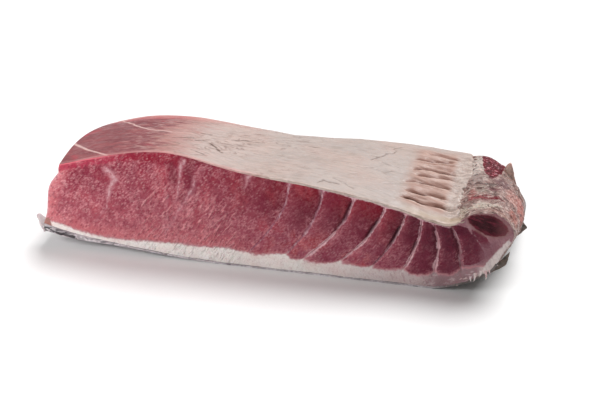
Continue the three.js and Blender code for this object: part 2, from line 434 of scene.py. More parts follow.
# The flank's own shape, a slow wobble of the whole, and the relief of both cut faces.
place[:, 0] += (1 - rise(flake, 0, 0.5)) * FLANK_SHAPE(high)
place[:, 0] += SLOW_WOBBLE * ripple(place, 26, seed=1) * hump(flake, 0.3, 2, FLAKES - 1, FLAKES - 0.2)
face = 1.0 * (deep == 0) - 1.0 * (deep == 1)
relief = cut_relief(flake, high, place[:, 0]) + crevice_depth(flake, high)
relief += FINE_BUMPS * ripple(place, 5, seed=2) + WIDE_BUMPS * ripple(place, 22, seed=3)
place[:, 1] += face * relief

# %% Torn tissue at the belly edge
TORN_LUMP, TORN_FIBRE = 15, 3.2           # size in mm of the ridges and of the fibres on them
RIDGE_HEIGHT, FIBRE_HEIGHT = 1.7, 0.8     # and how high they stand
RIDGES = 1.0, 2.1, 3, 0.9, 2.0            # the noise's roughness, gap, octaves, offset and gain


def torn_relief(places, strength):
    """Ridges, pits and fibres of the torn tissue, in mm. They run along the block."""
    stretched = places * np.array([0.55, 1.0, 1.0])
    coarse = np.array([noise.ridged_multi_fractal(Vector(p) / TORN_LUMP, *RIDGES) for p in stretched])
    fine = ripple(stretched, TORN_FIBRE, seed=4)
    return strength * (RIDGE_HEIGHT * (coarse - coarse.mean() + 0.3) + FIBRE_HEIGHT * fine)


torn = np.maximum(torn_top, on_end * hump(high, 0.02, 0.2, 1.2, 1.3))
torn *= hump(deep, -0.01, 0.05, 0.95, 1.01)
moved = torn > 0.01
push = np.zeros(len(place))
push[moved] = torn_relief(place[moved], torn[moved])
place[:, 2] += push * on_top
place[:, 0] += push * on_end * (high < 1)
set_places(body, place)
report(body)

# %% [markdown]
# The knife leaves no razor edges on soft flesh, so the box's edges are eased with a Smooth modifier
# that only acts near them.

# %% Ease the edges
def ease_edges(piece, weight, times):
    """Smooths the part of a piece where weight is over 0."""
    group = piece.vertex_groups.new(name="eased")
    for index in np.flatnonzero(weight > 0.02):
        group.add([int(index)], float(weight[index]), "REPLACE")
    select_only(piece)
    ease = piece.modifiers.new("ease", "SMOOTH")
    ease.factor = 0.5
    ease.iterations = times
    ease.vertex_group = group.name
    bpy.ops.object.modifier_apply(modifier=ease.name)
    piece.vertex_groups.clear()


at_flank = 1 - rise(flake, 0, 0.16)
at_cut = 1 - rise(np.minimum(deep, 1 - deep), 0, 0.05)
at_edge = rise(flake, FLAKES - 0.3, FLAKES)
ease_edges(body, np.maximum(at_flank * np.maximum(at_cut, rise(high, 0.94, 1)), at_edge * at_cut), 6)

# %% Measures of the body's surface
FAR = 99.0                    # stands for a distance in mm too great to matter


def line_distance(places, points, axes):
    """Distance in mm from a bent line through points, measured on the two axes given."""
    best = np.full(len(places), FAR)
    here = places[:, axes]
    for start, end in zip(points[:-1], points[1:]):
        start, span = np.array(start, float), np.array(end, float) - np.array(start, float)
        t = np.clip((here - start) @ span / (span @ span), 0, 1)
        best = np.minimum(best, np.linalg.norm(here - start - t[:, None] * span, axis=1))
    return best


def inside_shape(places, points, axes):
    """How far inside a convex outline, in mm, measured on the two axes given; negative outside."""
    here, points = places[:, axes], np.array(points, float)
    middle = points.mean(0)
    depth = np.full(len(places), FAR)
    for start, end in zip(points, np.roll(points, -1, axis=0)):
        normal = np.array([end[1] - start[1], start[0] - end[0]]) / np.linalg.norm(end - start)
        normal *= np.sign((middle - start) @ normal)
        depth = np.minimum(depth, (here - start) @ normal)
    return depth

# %% Where flesh, fat, veins and muscles lie
# Height of the fat's upper border above the skin's outside, along the block.
FAT_BAND = [
    (-213, 10), (-197, 12), (-178, 9.5), (-159, 7.5), (-140, 7.5), (-111, 11), (-83, 14), (-64, 15),
    (-36, 17), (-9, 14), (5, 17.5), (25, 13), (46, 13), (68, 15), (91, 13), (119, 13.5), (130, 11.5),
    (149, 13.5), (163, 12), (175, 14.5), (186, 17), (204, 10),
]
# Shapes on the front cut face near the belly edge, as (x, z) corners.
OVAL_MUSCLE = [
    (172.5, 72), (175.5, 75.5), (184, 77.5), (193, 77.5), (200, 75), (206.5, 69.5), (209, 64),
    (206, 59.5), (198, 57), (189, 57.8), (180.5, 62.6), (174, 68),
]
SMALL_MUSCLE = [(176, 64), (184.5, 61.5), (191, 56), (195, 50), (193, 45), (187.5, 45.5), (181, 54.5)]
LAST_FLAKE = [
    (150, 60), (165, 66), (175.5, 63), (181, 55), (186, 48), (190.5, 42), (190.5, 35), (184, 29.5),
    (177, 26), (160, 26),
]
FAT_WEDGE = [
    (182, 18), (190, 17), (198, 25), (206, 37), (212, 51), (209, 58), (203, 54), (197, 42), (189, 28),
]
MAUVE_PATCH = [(185, 50), (193, 53), (202, 55), (199, 42), (192, 33), (185, 30)]
TAN_CORNER = [(-206, 28), (-204, 19), (-209, 12), (-222, 12), (-214, 28)]
# The muscle that shows through the torn top, as (x, y) corners.
TOP_MUSCLE = [
    (171, 68), (194, 68), (195, 55), (192, 37), (189, 18), (184.5, 10), (178.5, 21), (173.5, 42),
]
# How deep the crimson band under the lining reaches, along the block.
CRIMSON_BAND = [(-213, 8), (-150, 7.5), (-110, 10), (-82, 11), (-70, 7), (-55, 3), (-30, 1.5)]
SEAM_HALF = 0.68              # half a seam's width below the lining; it widens towards the skin
FAT_CLIMB, SEAM_HANG = 3.5, 2.8  # the fat reaches up into a seam, and pale tissue hangs into its top
EDGE_SEAM = 13                # past this seam the flakes run into the tissue of the belly edge
LOST = 25                     # added to a distance in mm where a line is lost in the marbling
fat_height = smooth(FAT_BAND)
print("fat in mm:", [round(float(fat_height(x)), 1) for x in (-200, -140, 0, 140, 200)])

# %% How far each point lies from seams, fat and muscles
here = vertex_places(body) / MM
show = flakes_show(here[:, 0])
nth = np.minimum(flake.astype(int), FLAKES - 1)
width_here = np.diff(SEAM_TOP)[nth] * high + np.diff(SEAM_FOOT)[nth] * (1 - high)
across = flake - nth
to_next, from_last = (1 - across) * width_here, across * width_here
past_seams = flake > EDGE_SEAM
from_seam = np.where(past_seams, from_last + FAR * (nth > EDGE_SEAM), np.minimum(to_next, from_last))
above_fat = here[:, 2] - skin_height(at_flake(flake, SEAM_FOOT), deep) - fat_height(here[:, 0])
above_fat -= FAT_CLIMB * np.exp(-from_seam / 3.5) * show
below_lining = lining_height(at_flake(flake, SEAM_TOP), deep) - lining_thickness(here[:, 0]) - here[:, 2]
under_lining = below_lining - SEAM_HANG * np.exp(-from_seam / 2.0) * show
paleness = seam_strength(flake, high)
seam_width = SEAM_HALF * (1 + 0.8 * (1 - high)) * (0.3 + paleness) * (1 + 1.0 * ripple(here, 8, seed=6))
side_way = from_seam - seam_width + LOST * (paleness < 0.02)
inside = np.minimum(np.minimum(side_way, above_fat), under_lining + LOST * (1 - show))
last_flakes = [inside_shape(here, shape, [X, Z]) for shape in (LAST_FLAKE, SMALL_MUSCLE)]
inside = np.where(past_seams, np.minimum(side_way, np.max(last_flakes, axis=0) - 0.3), inside)
into_end = np.minimum(deep, 1 - deep) * DEPTH

keep_values(
    body, inside=inside, above_fat=above_fat, height=high, flakes_show=show,
    near_seam=np.where(flake > LAST_SEAM, FAR, side_way),
    paleness=np.where(flake > EDGE_SEAM + 0.4, 0.6, paleness),
    across_flake=np.where(past_seams, 1, across),
    to_next=np.where(past_seams, FAR, to_next + LOST * (1 - show)),
    from_flank=from_last + FAR * (nth > 0) + 0.3 * into_end,
    crevice=crevice_depth(flake, high) / DEEPEST_CREVICE,
    crimson=below_lining / smooth(CRIMSON_BAND)(here[:, 0]),
    edge_muscle=inside_shape(here, OVAL_MUSCLE, [X, Z]),
    mauve=inside_shape(here, MAUVE_PATCH, [X, Z]),
    wedge=inside_shape(here, FAT_WEDGE, [X, Z]),
    tan=inside_shape(here, TAN_CORNER, [X, Z]) - 0.15 * into_end,
    top_muscle=inside_shape(here, TOP_MUSCLE, [X, Y]),
)
print("values kept on the flesh:", sorted(body.data.attributes.keys()))

# %% [markdown]
# The torn edge has no layers to follow. It is a patchwork: lavender tissue by the top muscle, brown
# and grey where it has dried, salmon where fibres are left, crimson where a muscle was cut. Each
# patch is a soft ball of colour at its own place, with its rim broken up by noise.

# %% Patches of colour on the torn edge
# A patch: its middle and its reach in mm, the colour, and how strongly it covers.
PATCHES = [
    ((171, 38, 72), (8, 30, 9), (216, 200, 192), 0.95), ((175, 8, 74), (8, 12, 9), (174, 154, 148), 0.9),
    ((181, -3, 76), (12, 3, 9), (90, 76, 70), 0.9), ((182, -14, 76), (15, 8, 9), (160, 142, 132), 0.9),
    ((172, -24, 75), (4, 14, 9), (176, 112, 106), 0.8), ((196, 8, 73), (10, 15, 10), (128, 92, 94), 0.9),
    ((199, 36, 60), (10, 18, 16), (152, 122, 114), 0.95), ((206, 56, 46), (9, 14, 16), (138, 104, 94), 0.9),
    ((190, -12, 76), (7, 6, 9), (120, 60, 70), 0.85), ((179, -33, 77), (11, 4, 9), (150, 62, 68), 0.9),
    ((192, -31, 78), (10, 4.5, 9), (118, 18, 36), 1.0), ((185, -50, 78), (17, 8, 9), (214, 198, 184), 0.9),
    ((206, -8, 68), (8, 20, 8), (196, 142, 134), 0.9), ((213, -4, 54), (9, 32, 14), (196, 114, 104), 0.9),
    ((207, 24, 58), (6, 9, 9), (122, 86, 76), 0.8), ((188, 17, 74), (4.5, 6, 6), (206, 176, 172), 0.85),
    ((210, -44, 66), (7, 14, 10), (188, 122, 112), 0.9), ((214, -10, 38), (9, 44, 9), (150, 112, 104), 0.9),
    ((166, -52, 69), (7, 12, 9), (208, 192, 176), 0.9), ((200, -58, 76), (14, 7, 8), (168, 128, 118), 0.9),
]
TISSUE = (154, 126, 120)
TORN_PAINTED_SHADE = 0.82            # painted shade: the whole torn edge is a little darker than its patches
STRINGY = 3.2                 # the noise that breaks up a patch's rim

# %% Paint the patches on the points
def linear(colour):
    """A colour given as 0 to 255 on the screen, turned into the linear light that shaders use."""
    return ((np.array(colour) / 255 + 0.055) / 1.055) ** 2.4


near_edge = np.flatnonzero(here[:, 0] > 150)
tint = np.tile([*linear(TISSUE), 1.0], (len(here), 1))
rim_noise = ripple(here[near_edge], STRINGY, seed=21, octaves=3)
for middle, reach, colour, strength in PATCHES:
    away = np.linalg.norm((here[near_edge] - middle) / reach, axis=1) + 0.35 * rim_noise
    cover = (strength * (1 - rise(away, 0.6, 1.1)))[:, None]
    tint[near_edge, :3] = tint[near_edge, :3] * (1 - cover) + TORN_PAINTED_SHADE * linear(colour) * cover
layer = body.data.attributes.new("tint", "FLOAT_COLOR", "POINT")
layer.data.foreach_set("color", tint.astype(np.float32).ravel())
print("patches:", len(PATCHES), "on", len(near_edge), "points near the belly edge")

# %% Which faces are torn
corners = np.empty(len(body.data.polygons) * 4, int)
body.data.polygons.foreach_get("vertices", corners)
corners = corners.reshape(-1, 4)
on_torn_side = (high[corners].min(1) == 1) | (flake[corners].min(1) == FLAKES)
body_side = on_torn_side.astype(int)
print("faces of cut flesh and of torn tissue:", np.bincount(body_side))

# %% [markdown]
# ## The lining of the belly
# The belly's inside is covered by a smooth pale sheet. It is a glassy film where it crosses the thick
# flesh, and a firm pale sheet further on. Beside the belly edge it is pushed into eight short
# wrinkles, and then it ends in a torn border. It is a thin box of rows, so that it has a real
# thickness that shows as a pale rim along the cut.

# %% Places on the lining, all in mm
# A wrinkle's groove: its depth and the (x, y) places it runs through.
GROOVES = [
    (2.8, [(124, 44), (134, 46), (147, 45), (162, 50)]),
    (3.4, [(113, 30), (123, 32), (132, 32), (150, 37)]),
    (1.8, [(124, 24), (138, 28), (154, 33)]),
    (4.2, [(115, 8), (129, 13), (140, 14), (156, 15)]),
    (2.8, [(118, -4), (132, 1), (145, 4), (159, 6)]),
    (4.0, [(112, -17), (127, -14), (138, -11), (154, -12)]),
    (3.8, [(114, -32), (130, -32), (138, -30), (152, -29)]),
    (4.4, [(112, -46), (125, -44), (132, -46), (145, -45), (161, -43)]),
    (1.4, [(146, -13), (165, -16)]), (1.4, [(140, -5), (162, -6)]), (1.6, [(130, 19), (152, 22)]),
]
DEEPEST_GROOVE = 4.4         # mm
FRONT_SLOPE, BACK_SLOPE = 1.6, 4.0   # a groove is steep on the front side and slopes up behind
RIDGE_SWELL = 1.4
LINING_END = 171.0
FILM_BORDER = smooth([(-65, -97), (-58, -94), (-30, -100), (-3, -104), (22, -101), (42, -101), (65, -97)])
# A crease in the plain lining: its strength and the (x, y) places it runs through.
FOLDS = [
    (1.0, [(76, 11), (79, 17), (80, 22)]), (1.0, [(80, 20), (85, 27), (87, 34)]),
    (0.9, [(86, 32), (93, 36), (94, 42)]), (0.7, [(91, 46), (97, 54)]), (0.6, [(86, 10), (95, 6)]),
    (0.5, [(84, -6), (95, -13)]), (0.6, [(74, 22), (84, 19)]),
    (1.0, [(42, -56), (45, -49), (52, -51), (59, -50)]), (0.7, [(52, -42), (62, -46), (73, -54)]),
    (0.8, [(-99, -21), (-91, -18), (-80, -16)]), (0.9, [(-89, -25), (-82, -22), (-72, -16)]),
    (0.8, [(-72, -15), (-63, -21), (-54, -33)]), (1.0, [(-64, -20), (-57, -28), (-49, -35)]),
    (0.6, [(-51, 6), (-38, 12)]), (0.6, [(-72, -57), (-59, -51)]), (0.8, [(-74, -46), (-62, -50)]),
    (0.6, [(-103, -31), (-88, -37)]), (0.5, [(-72, 13), (-54, 12)]), (0.5, [(68, -10), (80, -5)]),
    (0.5, [(90, 6), (104, 5)]), (0.5, [(90, -7), (111, -1)]), (0.5, [(95, -31), (111, -24)]),
    (0.5, [(14, 27), (22, 24)]), (0.4, [(-20, 20), (8, 16)]), (0.9, [(-90, -16), (-82, -12)]),
    (0.7, [(-80, 3), (-71, 5)]), (0.8, [(-62, 7), (-55, 8)]), (0.8, [(-49, 4), (-43, 12), (-36, 14)]),
    (0.7, [(15, 26), (26, 27)]), (0.5, [(30, 22), (40, 20)]), (0.5, [(44, 12), (53, 13)]),
    (0.5, [(62, -30), (70, -23)]), (0.6, [(92, -10), (98, -3)]), (0.4, [(60, -26), (80, -30)]),
    (0.5, [(-92, 2), (-78, -2)]), (0.4, [(-8, -38), (1, -31)]),
]
print("grooves:", len(GROOVES), "creases:", len(FOLDS))

# %% The wrinkles' shape
def lining_grooves(x, y):
    """1 at the bottom of the deepest groove and 0 away from all, and 1 on the crests before them."""
    groove, crest = 0 * x, 0 * x
    for depth, points in GROOVES:
        at, across = np.array(points, float).T
        off = y - np.interp(x, at, across) - 0.8 * np.sin(x / 5 + across[0])
        slope = np.where(off > 0, BACK_SLOPE, FRONT_SLOPE)
        reach = hump(x, at[0] - 3, at[0] + 7, at[-1] - 7, at[-1] + 2)
        strength = depth / DEEPEST_GROOVE * reach
        groove = np.maximum(groove, strength * np.exp(-np.abs(off / slope) ** 1.4))
        # The crest value marks where a painted highlight goes on each crest.
        crest = np.maximum(crest, strength * np.exp(-(((off + 2.6) / 1.3) ** 2)))
    return groove, crest


def ridge_area(x, y):
    """1 where the wrinkles lie, 0 on the plain lining."""
    return hump(x, 106, 122, 148, 158) * hump(y, -60, -50, 48, 60)

# %% The lining's lines, waves and creases
LINING_ROWS, LINING_DEEP_ROWS = 300, 125
LINE_LIFT, WAVE_LIFT, CREASE_DEPTH = 0.32, 0.8, 0.8     # relief of the plain sheet, mm
CREASE_HALF = 1.1             # half the width of a crease

lining, grid = box_of_rows("tuna_lining", (LINING_ROWS, LINING_DEEP_ROWS, 2))
flake = np.interp(SEAM_TOP[0] + grid[:, 0] * (LINING_END - SEAM_TOP[0]), SEAM_TOP, range(FLAKES + 1))
deep = grid[:, 1]
at_rim = deep * (1 - deep) == 0
place = block_point(flake, deep, 1.0)
x, y = place[:, 0].copy(), place[:, 1].copy()

# Long fine lines and slow waves on the firm part, and a narrow ditch for each crease.
fine_lines = ripple(place * [0.22, 1, 0], 3.4, seed=7)
slow_waves = ripple(place * [0.6, 1, 0], 24, seed=8)
firm = rise(x - FILM_BORDER(y), -12, 45)
wavered = place + 1.3 * np.column_stack([ripple(place, 6, seed=31), ripple(place, 6, seed=32), 0 * x])
fold = np.max([strength * np.exp(-((line_distance(wavered, line, [X, Y]) / CREASE_HALF) ** 2))
               for strength, line in FOLDS], axis=0)
lift = (LINE_LIFT * fine_lines + WAVE_LIFT * slow_waves) * firm - CREASE_DEPTH * fold

# %% The lining's wrinkles, rough strip and torn border
STRIP_LIFT = 0.7              # roughness of the strip before the torn border
TORN_AT, TORN_DROP = 165, 5.0  # the sheet ends near this place, and dives this far out of sight
RIM_OUT, BACK_OUT = 0.45, 0.8  # the sheet stands out past the front cut, and past the back one
BACK_DROP = 2.2               # and hangs over the back one

groove, crest = lining_grooves(x, y)
lift += ridge_area(x, y) * (RIDGE_SWELL + 0.7 * fine_lines) - DEEPEST_GROOVE * groove
strip = hump(x, 148, 156, 168, 176) * (1 - rise(y, 52, 64))
lift += strip * STRIP_LIFT * ripple(place, 4.5, seed=19, octaves=3)
torn_border = TORN_AT + 2.5 * np.sin(y / 16) + 3.5 * ripple(place, 7, seed=9, octaves=3)
lift -= TORN_DROP * rise(x, torn_border - 1.5, torn_border + 2.5)
place[:, 2] += np.where(at_rim, 0.4 * lift, lift)
place[:, 2] -= (1 - grid[:, 2]) * lining_thickness(x)
place[:, 1] += RIM_OUT * np.sign(deep - 0.5) * at_rim * rise(x, -150, -60) + BACK_OUT * (deep == 1)
place[:, 2] -= BACK_DROP * (deep == 1) * rise(x, -110, -40)
set_places(lining, place)
from_cut = np.minimum(deep, 1 - deep) * DEPTH
ease_edges(lining, 1 - rise(from_cut, 0, 2.2), 2)
keep_values(
    lining, past_film=x - FILM_BORDER(y), groove=groove, crest=crest, fold=fold, ridges=ridge_area(x, y),
    strip=strip, from_cut=from_cut, from_back=(1 - deep) * DEPTH, from_front=deep * DEPTH,
)
report(lining)

# %% [markdown]
# ## The skin
# The skin is one leathery sheet under the whole block. It curls a little off the table at the flank,
# and at the belly edge it wraps up round the end to a ragged border. The sheet is a thin box of rows
# laid along the bottom and up the end, and its thickness is set off along the surface's normal.

# %% Shape the skin
SKIN_TURN = 0.86              # the share of the sheet's rows that lie under the block
SKIN_ROWS, SKIN_DEEP_ROWS = 300, 90
STEP = 0.006                  # the surface's slope is measured over this much of the sheet
CLIMB_RAGGED = 0.05           # the skin's border on the belly edge is ragged by this share
SKIN_RIM_OUT = 0.3            # the skin stands out this far past both cuts


def skin_outside(run, deep, climb):
    """A point of the skin's outer face: run goes 0 to 1 along the bottom and up the belly edge."""
    under = block_point(np.clip(run / SKIN_TURN, 0, 1) * FLAKES, deep, 0.0)
    up = block_point(FLAKES + 0.0 * run, deep, np.clip((run - SKIN_TURN) / (1 - SKIN_TURN), 0, 1) * climb)
    return np.where((run <= SKIN_TURN)[:, None], under, up)


skin, grid = box_of_rows("tuna_skin", (SKIN_ROWS, SKIN_DEEP_ROWS, 2))
run, deep, inward = grid.T
ragged = ripple(np.column_stack([0 * deep, deep * DEPTH, 0 * deep]), 9, seed=11, octaves=3)
climb = skin_climb(deep) + CLIMB_RAGGED * ragged
place = skin_outside(run, deep, climb)
along_run = skin_outside(run + STEP, deep, climb) - skin_outside(run - STEP, deep, climb)
across_run = skin_outside(run, deep + STEP, climb) - skin_outside(run, deep - STEP, climb)
inside_way = np.cross(along_run, across_run)
inside_way /= np.linalg.norm(inside_way, axis=1)[:, None]
place += inside_way * (inward * skin_thickness(place[:, 0]))[:, None]
place[:, 2] = np.maximum(place[:, 2], 0)
place[:, 1] += SKIN_RIM_OUT * np.sign(deep - 0.5) * (deep * (1 - deep) == 0)
set_places(skin, place)
keep_values(skin, inward=inward, from_front=deep * DEPTH)
report(skin)

# %% [markdown]
# ## Flaps and strands
# The knife left a few loose leaves: a curl of skin at the flank corner, a horn of tissue on the belly
# edge, and two points of skin below it. White strands of torn tissue hang from the lower edge. Each
# is the same box of rows, bent to its own shape. The strands are joined, since they are one kind.

# %% Leaves of skin and tissue
def unit(way):
    return np.array(way, float) / np.linalg.norm(way)


def leaf(name, root, tip, width, thick, across, curl, taper):
    """A thin leaf whose root edge runs along across. It narrows to a point, bluntly if taper is low."""
    piece, grid = box_of_rows(name, (18, 2, 26))
    root, tip = np.array(root, float), np.array(tip, float)
    length = np.linalg.norm(tip - root)
    up, side = unit(tip - root), unit(across)
    face = unit(np.cross(up, side))
    t = grid[:, 2]
    both_rims = np.column_stack([t * length, np.sign(grid[:, 0] - 0.5) * 9, 0 * t])
    nibble = ripple(both_rims, 4, seed=12, octaves=3)
    half = width / 2 * ((1 - t) ** taper * (1 - 0.12 * t) + 0.03) * (1 + 0.3 * nibble * t)
    thin = thick * (0.35 + 0.65 * (1 - t))
    sideways = (grid[:, 0] - 0.5) * 2 * half
    bend = curl * t**2 + 0.06 * sideways**2 / width * np.sign(curl + 0.01)
    place = root + np.outer(t * length, up) + np.outer(sideways, side)
    place += np.outer((grid[:, 1] - 0.5) * thin + bend, face)
    place += 0.25 * np.column_stack([ripple(place, 5, seed=s) for s in (13, 14, 15)])
    set_places(piece, place)
    ease_edges(piece, np.ones(len(place)), 1)
    report(piece)
    return piece


corner_flap = leaf("skin_corner_flap", (-210, -60, 13), (-220, -62.5, 29), width=13, thick=1.1,
                   across=(0.35, 1, 0), curl=-1.8, taper=0.35)
horn = leaf("tissue_horn", (194, 52, 52), (199, 50, 72.5), width=24, thick=5.0,
            across=(0.9, 0.3, -0.3), curl=1.0, taper=0.9)
skin_corner = leaf("skin_point_upper", (209, 4, 33), (220, 4, 33.5), width=36, thick=2.0,
                   across=(0.1, -0.3, 0.9), curl=0.6, taper=1.0)
skin_point = leaf("skin_point_lower", (200.5, -60, 29), (207.8, -60, 29), width=31, thick=2.0,
                  across=(0.62, 0.05, 0.78), curl=0.5, taper=0.8)

# %% Torn strands along the lower belly edge
# A strand: where it hangs on the cut face (x, z), the way its tip points (x, y, z), length, width.
STRANDS = [
    ((183, 22), (-0.25, -0.3, -1), 10, 4.2), ((190, 25), (0.25, -0.3, -0.9), 10, 4.0),
    ((174, 17), (-0.5, -0.35, -0.8), 7, 3.4), ((168, 10), (0.2, -0.4, -0.8), 5, 3),
    ((179, 19), (0.1, -0.4, -1), 8, 3.6), ((197, 33), (0.6, -0.3, -0.6), 6, 2.8),
    ((161, 6.5), (-0.7, -0.4, -0.3), 4.5, 2.8), ((187, 24), (-0.1, -0.5, -0.9), 7, 3.4),
    ((177, 16), (-0.5, -0.5, -0.4), 6, 3), ((193, 27), (0.5, -0.3, -0.7), 7, 3),
]


def strand(at, way, length, width, turn):
    """One tapered strand, a few rows long, that bends as it hangs."""
    piece, grid = box_of_rows("torn_strand", (2, 2, 9))
    way = unit(way)
    side = unit(np.cross(way, [0, 1, 0]))
    t = grid[:, 2]
    about = (grid[:, :2] - 0.5) * [[0.45, 1]] * (width * (1 - t) ** 1.1 + 0.3)[:, None]
    place = np.array([at[0], 1.5 - HALF_DEPTH, at[1]]) + np.outer(t * length, way)
    place += np.outer(about[:, 1], side) + np.outer(about[:, 0], np.cross(side, way))
    place += np.outer(1.6 * np.sin(2.4 * t + turn) * t, side)
    set_places(piece, place)
    return piece


threads = [strand(*shape, turn) for turn, shape in enumerate(STRANDS)]
select_only(*threads)
bpy.ops.object.join()
strands = bpy.context.object
strands.name = strands.data.name = "torn_strands"
report(strands)

# %% [markdown]
# ## Finishes
# Every finish is painted by nodes from two things: the piece's own Object coordinates, which carry
# the fine grain, and the values kept on its vertices, which say where seams, fat and muscles lie.
# A few short functions stand for the nodes that are used again and again.

# %% Adding a node
def add_node(tree, kind, inputs=None, **settings):
    """Adds a node. Each input is a plain value, or the output that feeds it."""
    made = tree.nodes.new("ShaderNode" + kind)
    for setting, value in settings.items():
        setattr(made, setting, value)
    for socket, value in (inputs or {}).items():
        value = getattr(value, "socket", value)
        if isinstance(value, bpy.types.NodeSocket):
            tree.links.new(value, made.inputs[socket])
        else:
            made.inputs[socket].default_value = value
    return made

# %% Sums on values of the surface
def math_of(tree, operation, a, b=0.0):
    return Value(add_node(tree, "Math", {0: a, 1: b}, operation=operation).outputs[0])


class Value:
    """A number that changes over the surface. Sums on it are written plainly and become Math nodes."""

    def __init__(self, socket):
        self.socket, self.tree = socket, socket.id_data

    def __add__(self, other):
        return math_of(self.tree, "ADD", self, other)

    def __mul__(self, other):
        return math_of(self.tree, "MULTIPLY", self, other)

    def __sub__(self, other):
        return math_of(self.tree, "SUBTRACT", self, other)

    def __rsub__(self, other):
        return math_of(self.tree, "SUBTRACT", other, self)

    def __abs__(self):
        return math_of(self.tree, "ABSOLUTE", self)

    __radd__, __rmul__ = __add__, __mul__

    def rise(self, start, end, to=1.0):
        """0 at start and to at end, smooth between. Start may be past end."""
        low, high, low_to, high_to = (start, end, 0.0, to) if start < end else (end, start, to, 0.0)
        inputs = {"Value": self, "From Min": low, "From Max": high, "To Min": low_to, "To Max": high_to}
        made = add_node(self.tree, "MapRange", inputs, interpolation_type="SMOOTHSTEP")
        return Value(made.outputs["Result"])


def larger(a, b):
    """Whichever of two values is larger at a point."""
    return math_of(a.tree, "MAXIMUM", a, b)

# %% Colours laid one over another
def mix(mask, first, second):
    """The first colour, covered by the second where the mask is 1. Plain colours are 0 to 255."""
    first, second = ((*linear(c), 1.0) if isinstance(c, tuple) else c for c in (first, second))
    return add_node(mask.tree, "Mix", {0: mask, 6: first, 7: second}, data_type="RGBA").outputs[2]


def layered(colour, *layers):
    """The colour under (mask, colour) layers, each laid over the ones before it."""
    for mask, over in layers:
        colour = mix(mask, colour, over)
    return colour

# %% What the finishes read
def kept(tree, name):
    """A value that was kept on the piece's vertices."""
    return Value(add_node(tree, "Attribute", attribute_name=name).outputs["Fac"])


def object_place(tree):
    return add_node(tree, "TexCoord").outputs["Object"]


def along_mm(tree):
    """How far along the block, in mm from its middle."""
    return Value(add_node(tree, "SeparateXYZ", {"Vector": object_place(tree)}).outputs["X"]) * 1000.0

# %% Noise and grains
def mapped(tree, place, **how):
    return add_node(tree, "Mapping", {"Vector": place, **how}).outputs["Vector"]


def grain_place(tree, size, stretch, turn, seed):
    """Object coordinates turned, moved on by the seed and counted in lumps of the given size in mm."""
    turned = mapped(tree, object_place(tree), Location=(seed, seed * 1.7, seed * 0.6), Rotation=turn)
    return mapped(tree, turned, Scale=[1000 / (size * s) for s in stretch])


def noise_of(tree, size, stretch=(1, 1, 1), turn=(0, 0, 0), seed=0.0, detail=2.0, warp=0.0, rough=0.5):
    """Noise with lumps of the given size in mm, longer where stretch is over 1."""
    place = grain_place(tree, size, stretch, turn, seed)
    inputs = {"Vector": place, "Scale": 1.0, "Detail": detail, "Distortion": warp, "Roughness": rough}
    return Value(add_node(tree, "TexNoise", inputs).outputs["Fac"])


GRAIN_RIM = (0.62, 0.3)       # a grain fades in over this part of its cell, from the rim inwards


def grains_of(tree, size, stretch=(1, 1, 1), turn=(0, 0, 0), seed=0.0, least=0.5):
    """Separate short grains of the given size in mm. The higher least is, the fewer of them show."""
    place = grain_place(tree, size, stretch, turn, seed)
    cells = add_node(tree, "TexVoronoi", {"Vector": place, "Scale": 1.0}, feature="F1")
    drawn = Value(add_node(tree, "SeparateXYZ", {"Vector": cells.outputs["Color"]}).outputs["X"])
    return drawn.rise(least, least + 0.3) * Value(cells.outputs["Distance"]).rise(*GRAIN_RIM)

# %% A new finish
def new_finish(name, roughness, subsurface=0.0, radius=(1.0, 0.3, 0.2), specular=0.5):
    """A material with its plain numbers set on the shader itself."""
    material = bpy.data.materials.new(name)
    material.use_nodes = True
    shader = material.node_tree.nodes["Principled BSDF"]
    plain = {"Roughness": roughness, "Specular IOR Level": specular, "Subsurface Weight": subsurface,
             "Subsurface Radius": radius, "Subsurface Scale": 3 * MM}
    for socket, value in plain.items():
        shader.inputs[socket].default_value = value
    return material, material.node_tree, shader

# %% [markdown]
# Two effects are shared. Moist tissue has a fine fibre relief and small wet and dry patches, and a
# line mark is a soft line between two points, for veins and blots. Each is a node group with named
# sockets.

# %% An empty node group
def new_group(name, inputs, outputs, vectors=()):
    """An empty node group with number inputs, vector inputs and (kind, name) outputs."""
    group = bpy.data.node_groups.new(name, "ShaderNodeTree")
    for title in vectors:
        group.interface.new_socket(title, in_out="INPUT", socket_type="NodeSocketVector")
    for title, value in inputs.items():
        socket = group.interface.new_socket(title, in_out="INPUT", socket_type="NodeSocketFloat")
        socket.default_value = value
    for kind, title in outputs:
        group.interface.new_socket(title, in_out="OUTPUT", socket_type="NodeSocket" + kind)
    given = group.nodes.new("NodeGroupInput").outputs
    return group, given, group.nodes.new("NodeGroupOutput").inputs

# %% Moist fibres, a node group
moist, given, result = new_group(
    "moist fibres", {"Relief": 1.0, "Wetness": 0.5}, [("Color", "Roughness"), ("Color", "Height")])
fine_fibres = noise_of(moist, 1.6, stretch=(1, 1, 1.6), seed=0.3, detail=4)
height = (fine_fibres + noise_of(moist, 6, seed=0.7) * 0.8) * Value(given["Relief"])
moist.links.new(height.socket, result["Height"])
dry = noise_of(moist, 9, seed=0.9).rise(0.3, 0.7) * 0.28
gloss = dry + Value(given["Wetness"]) * -0.3 + 0.48
moist.links.new(gloss.socket, result["Roughness"])
print(moist.name, "nodes:", len(moist.nodes))

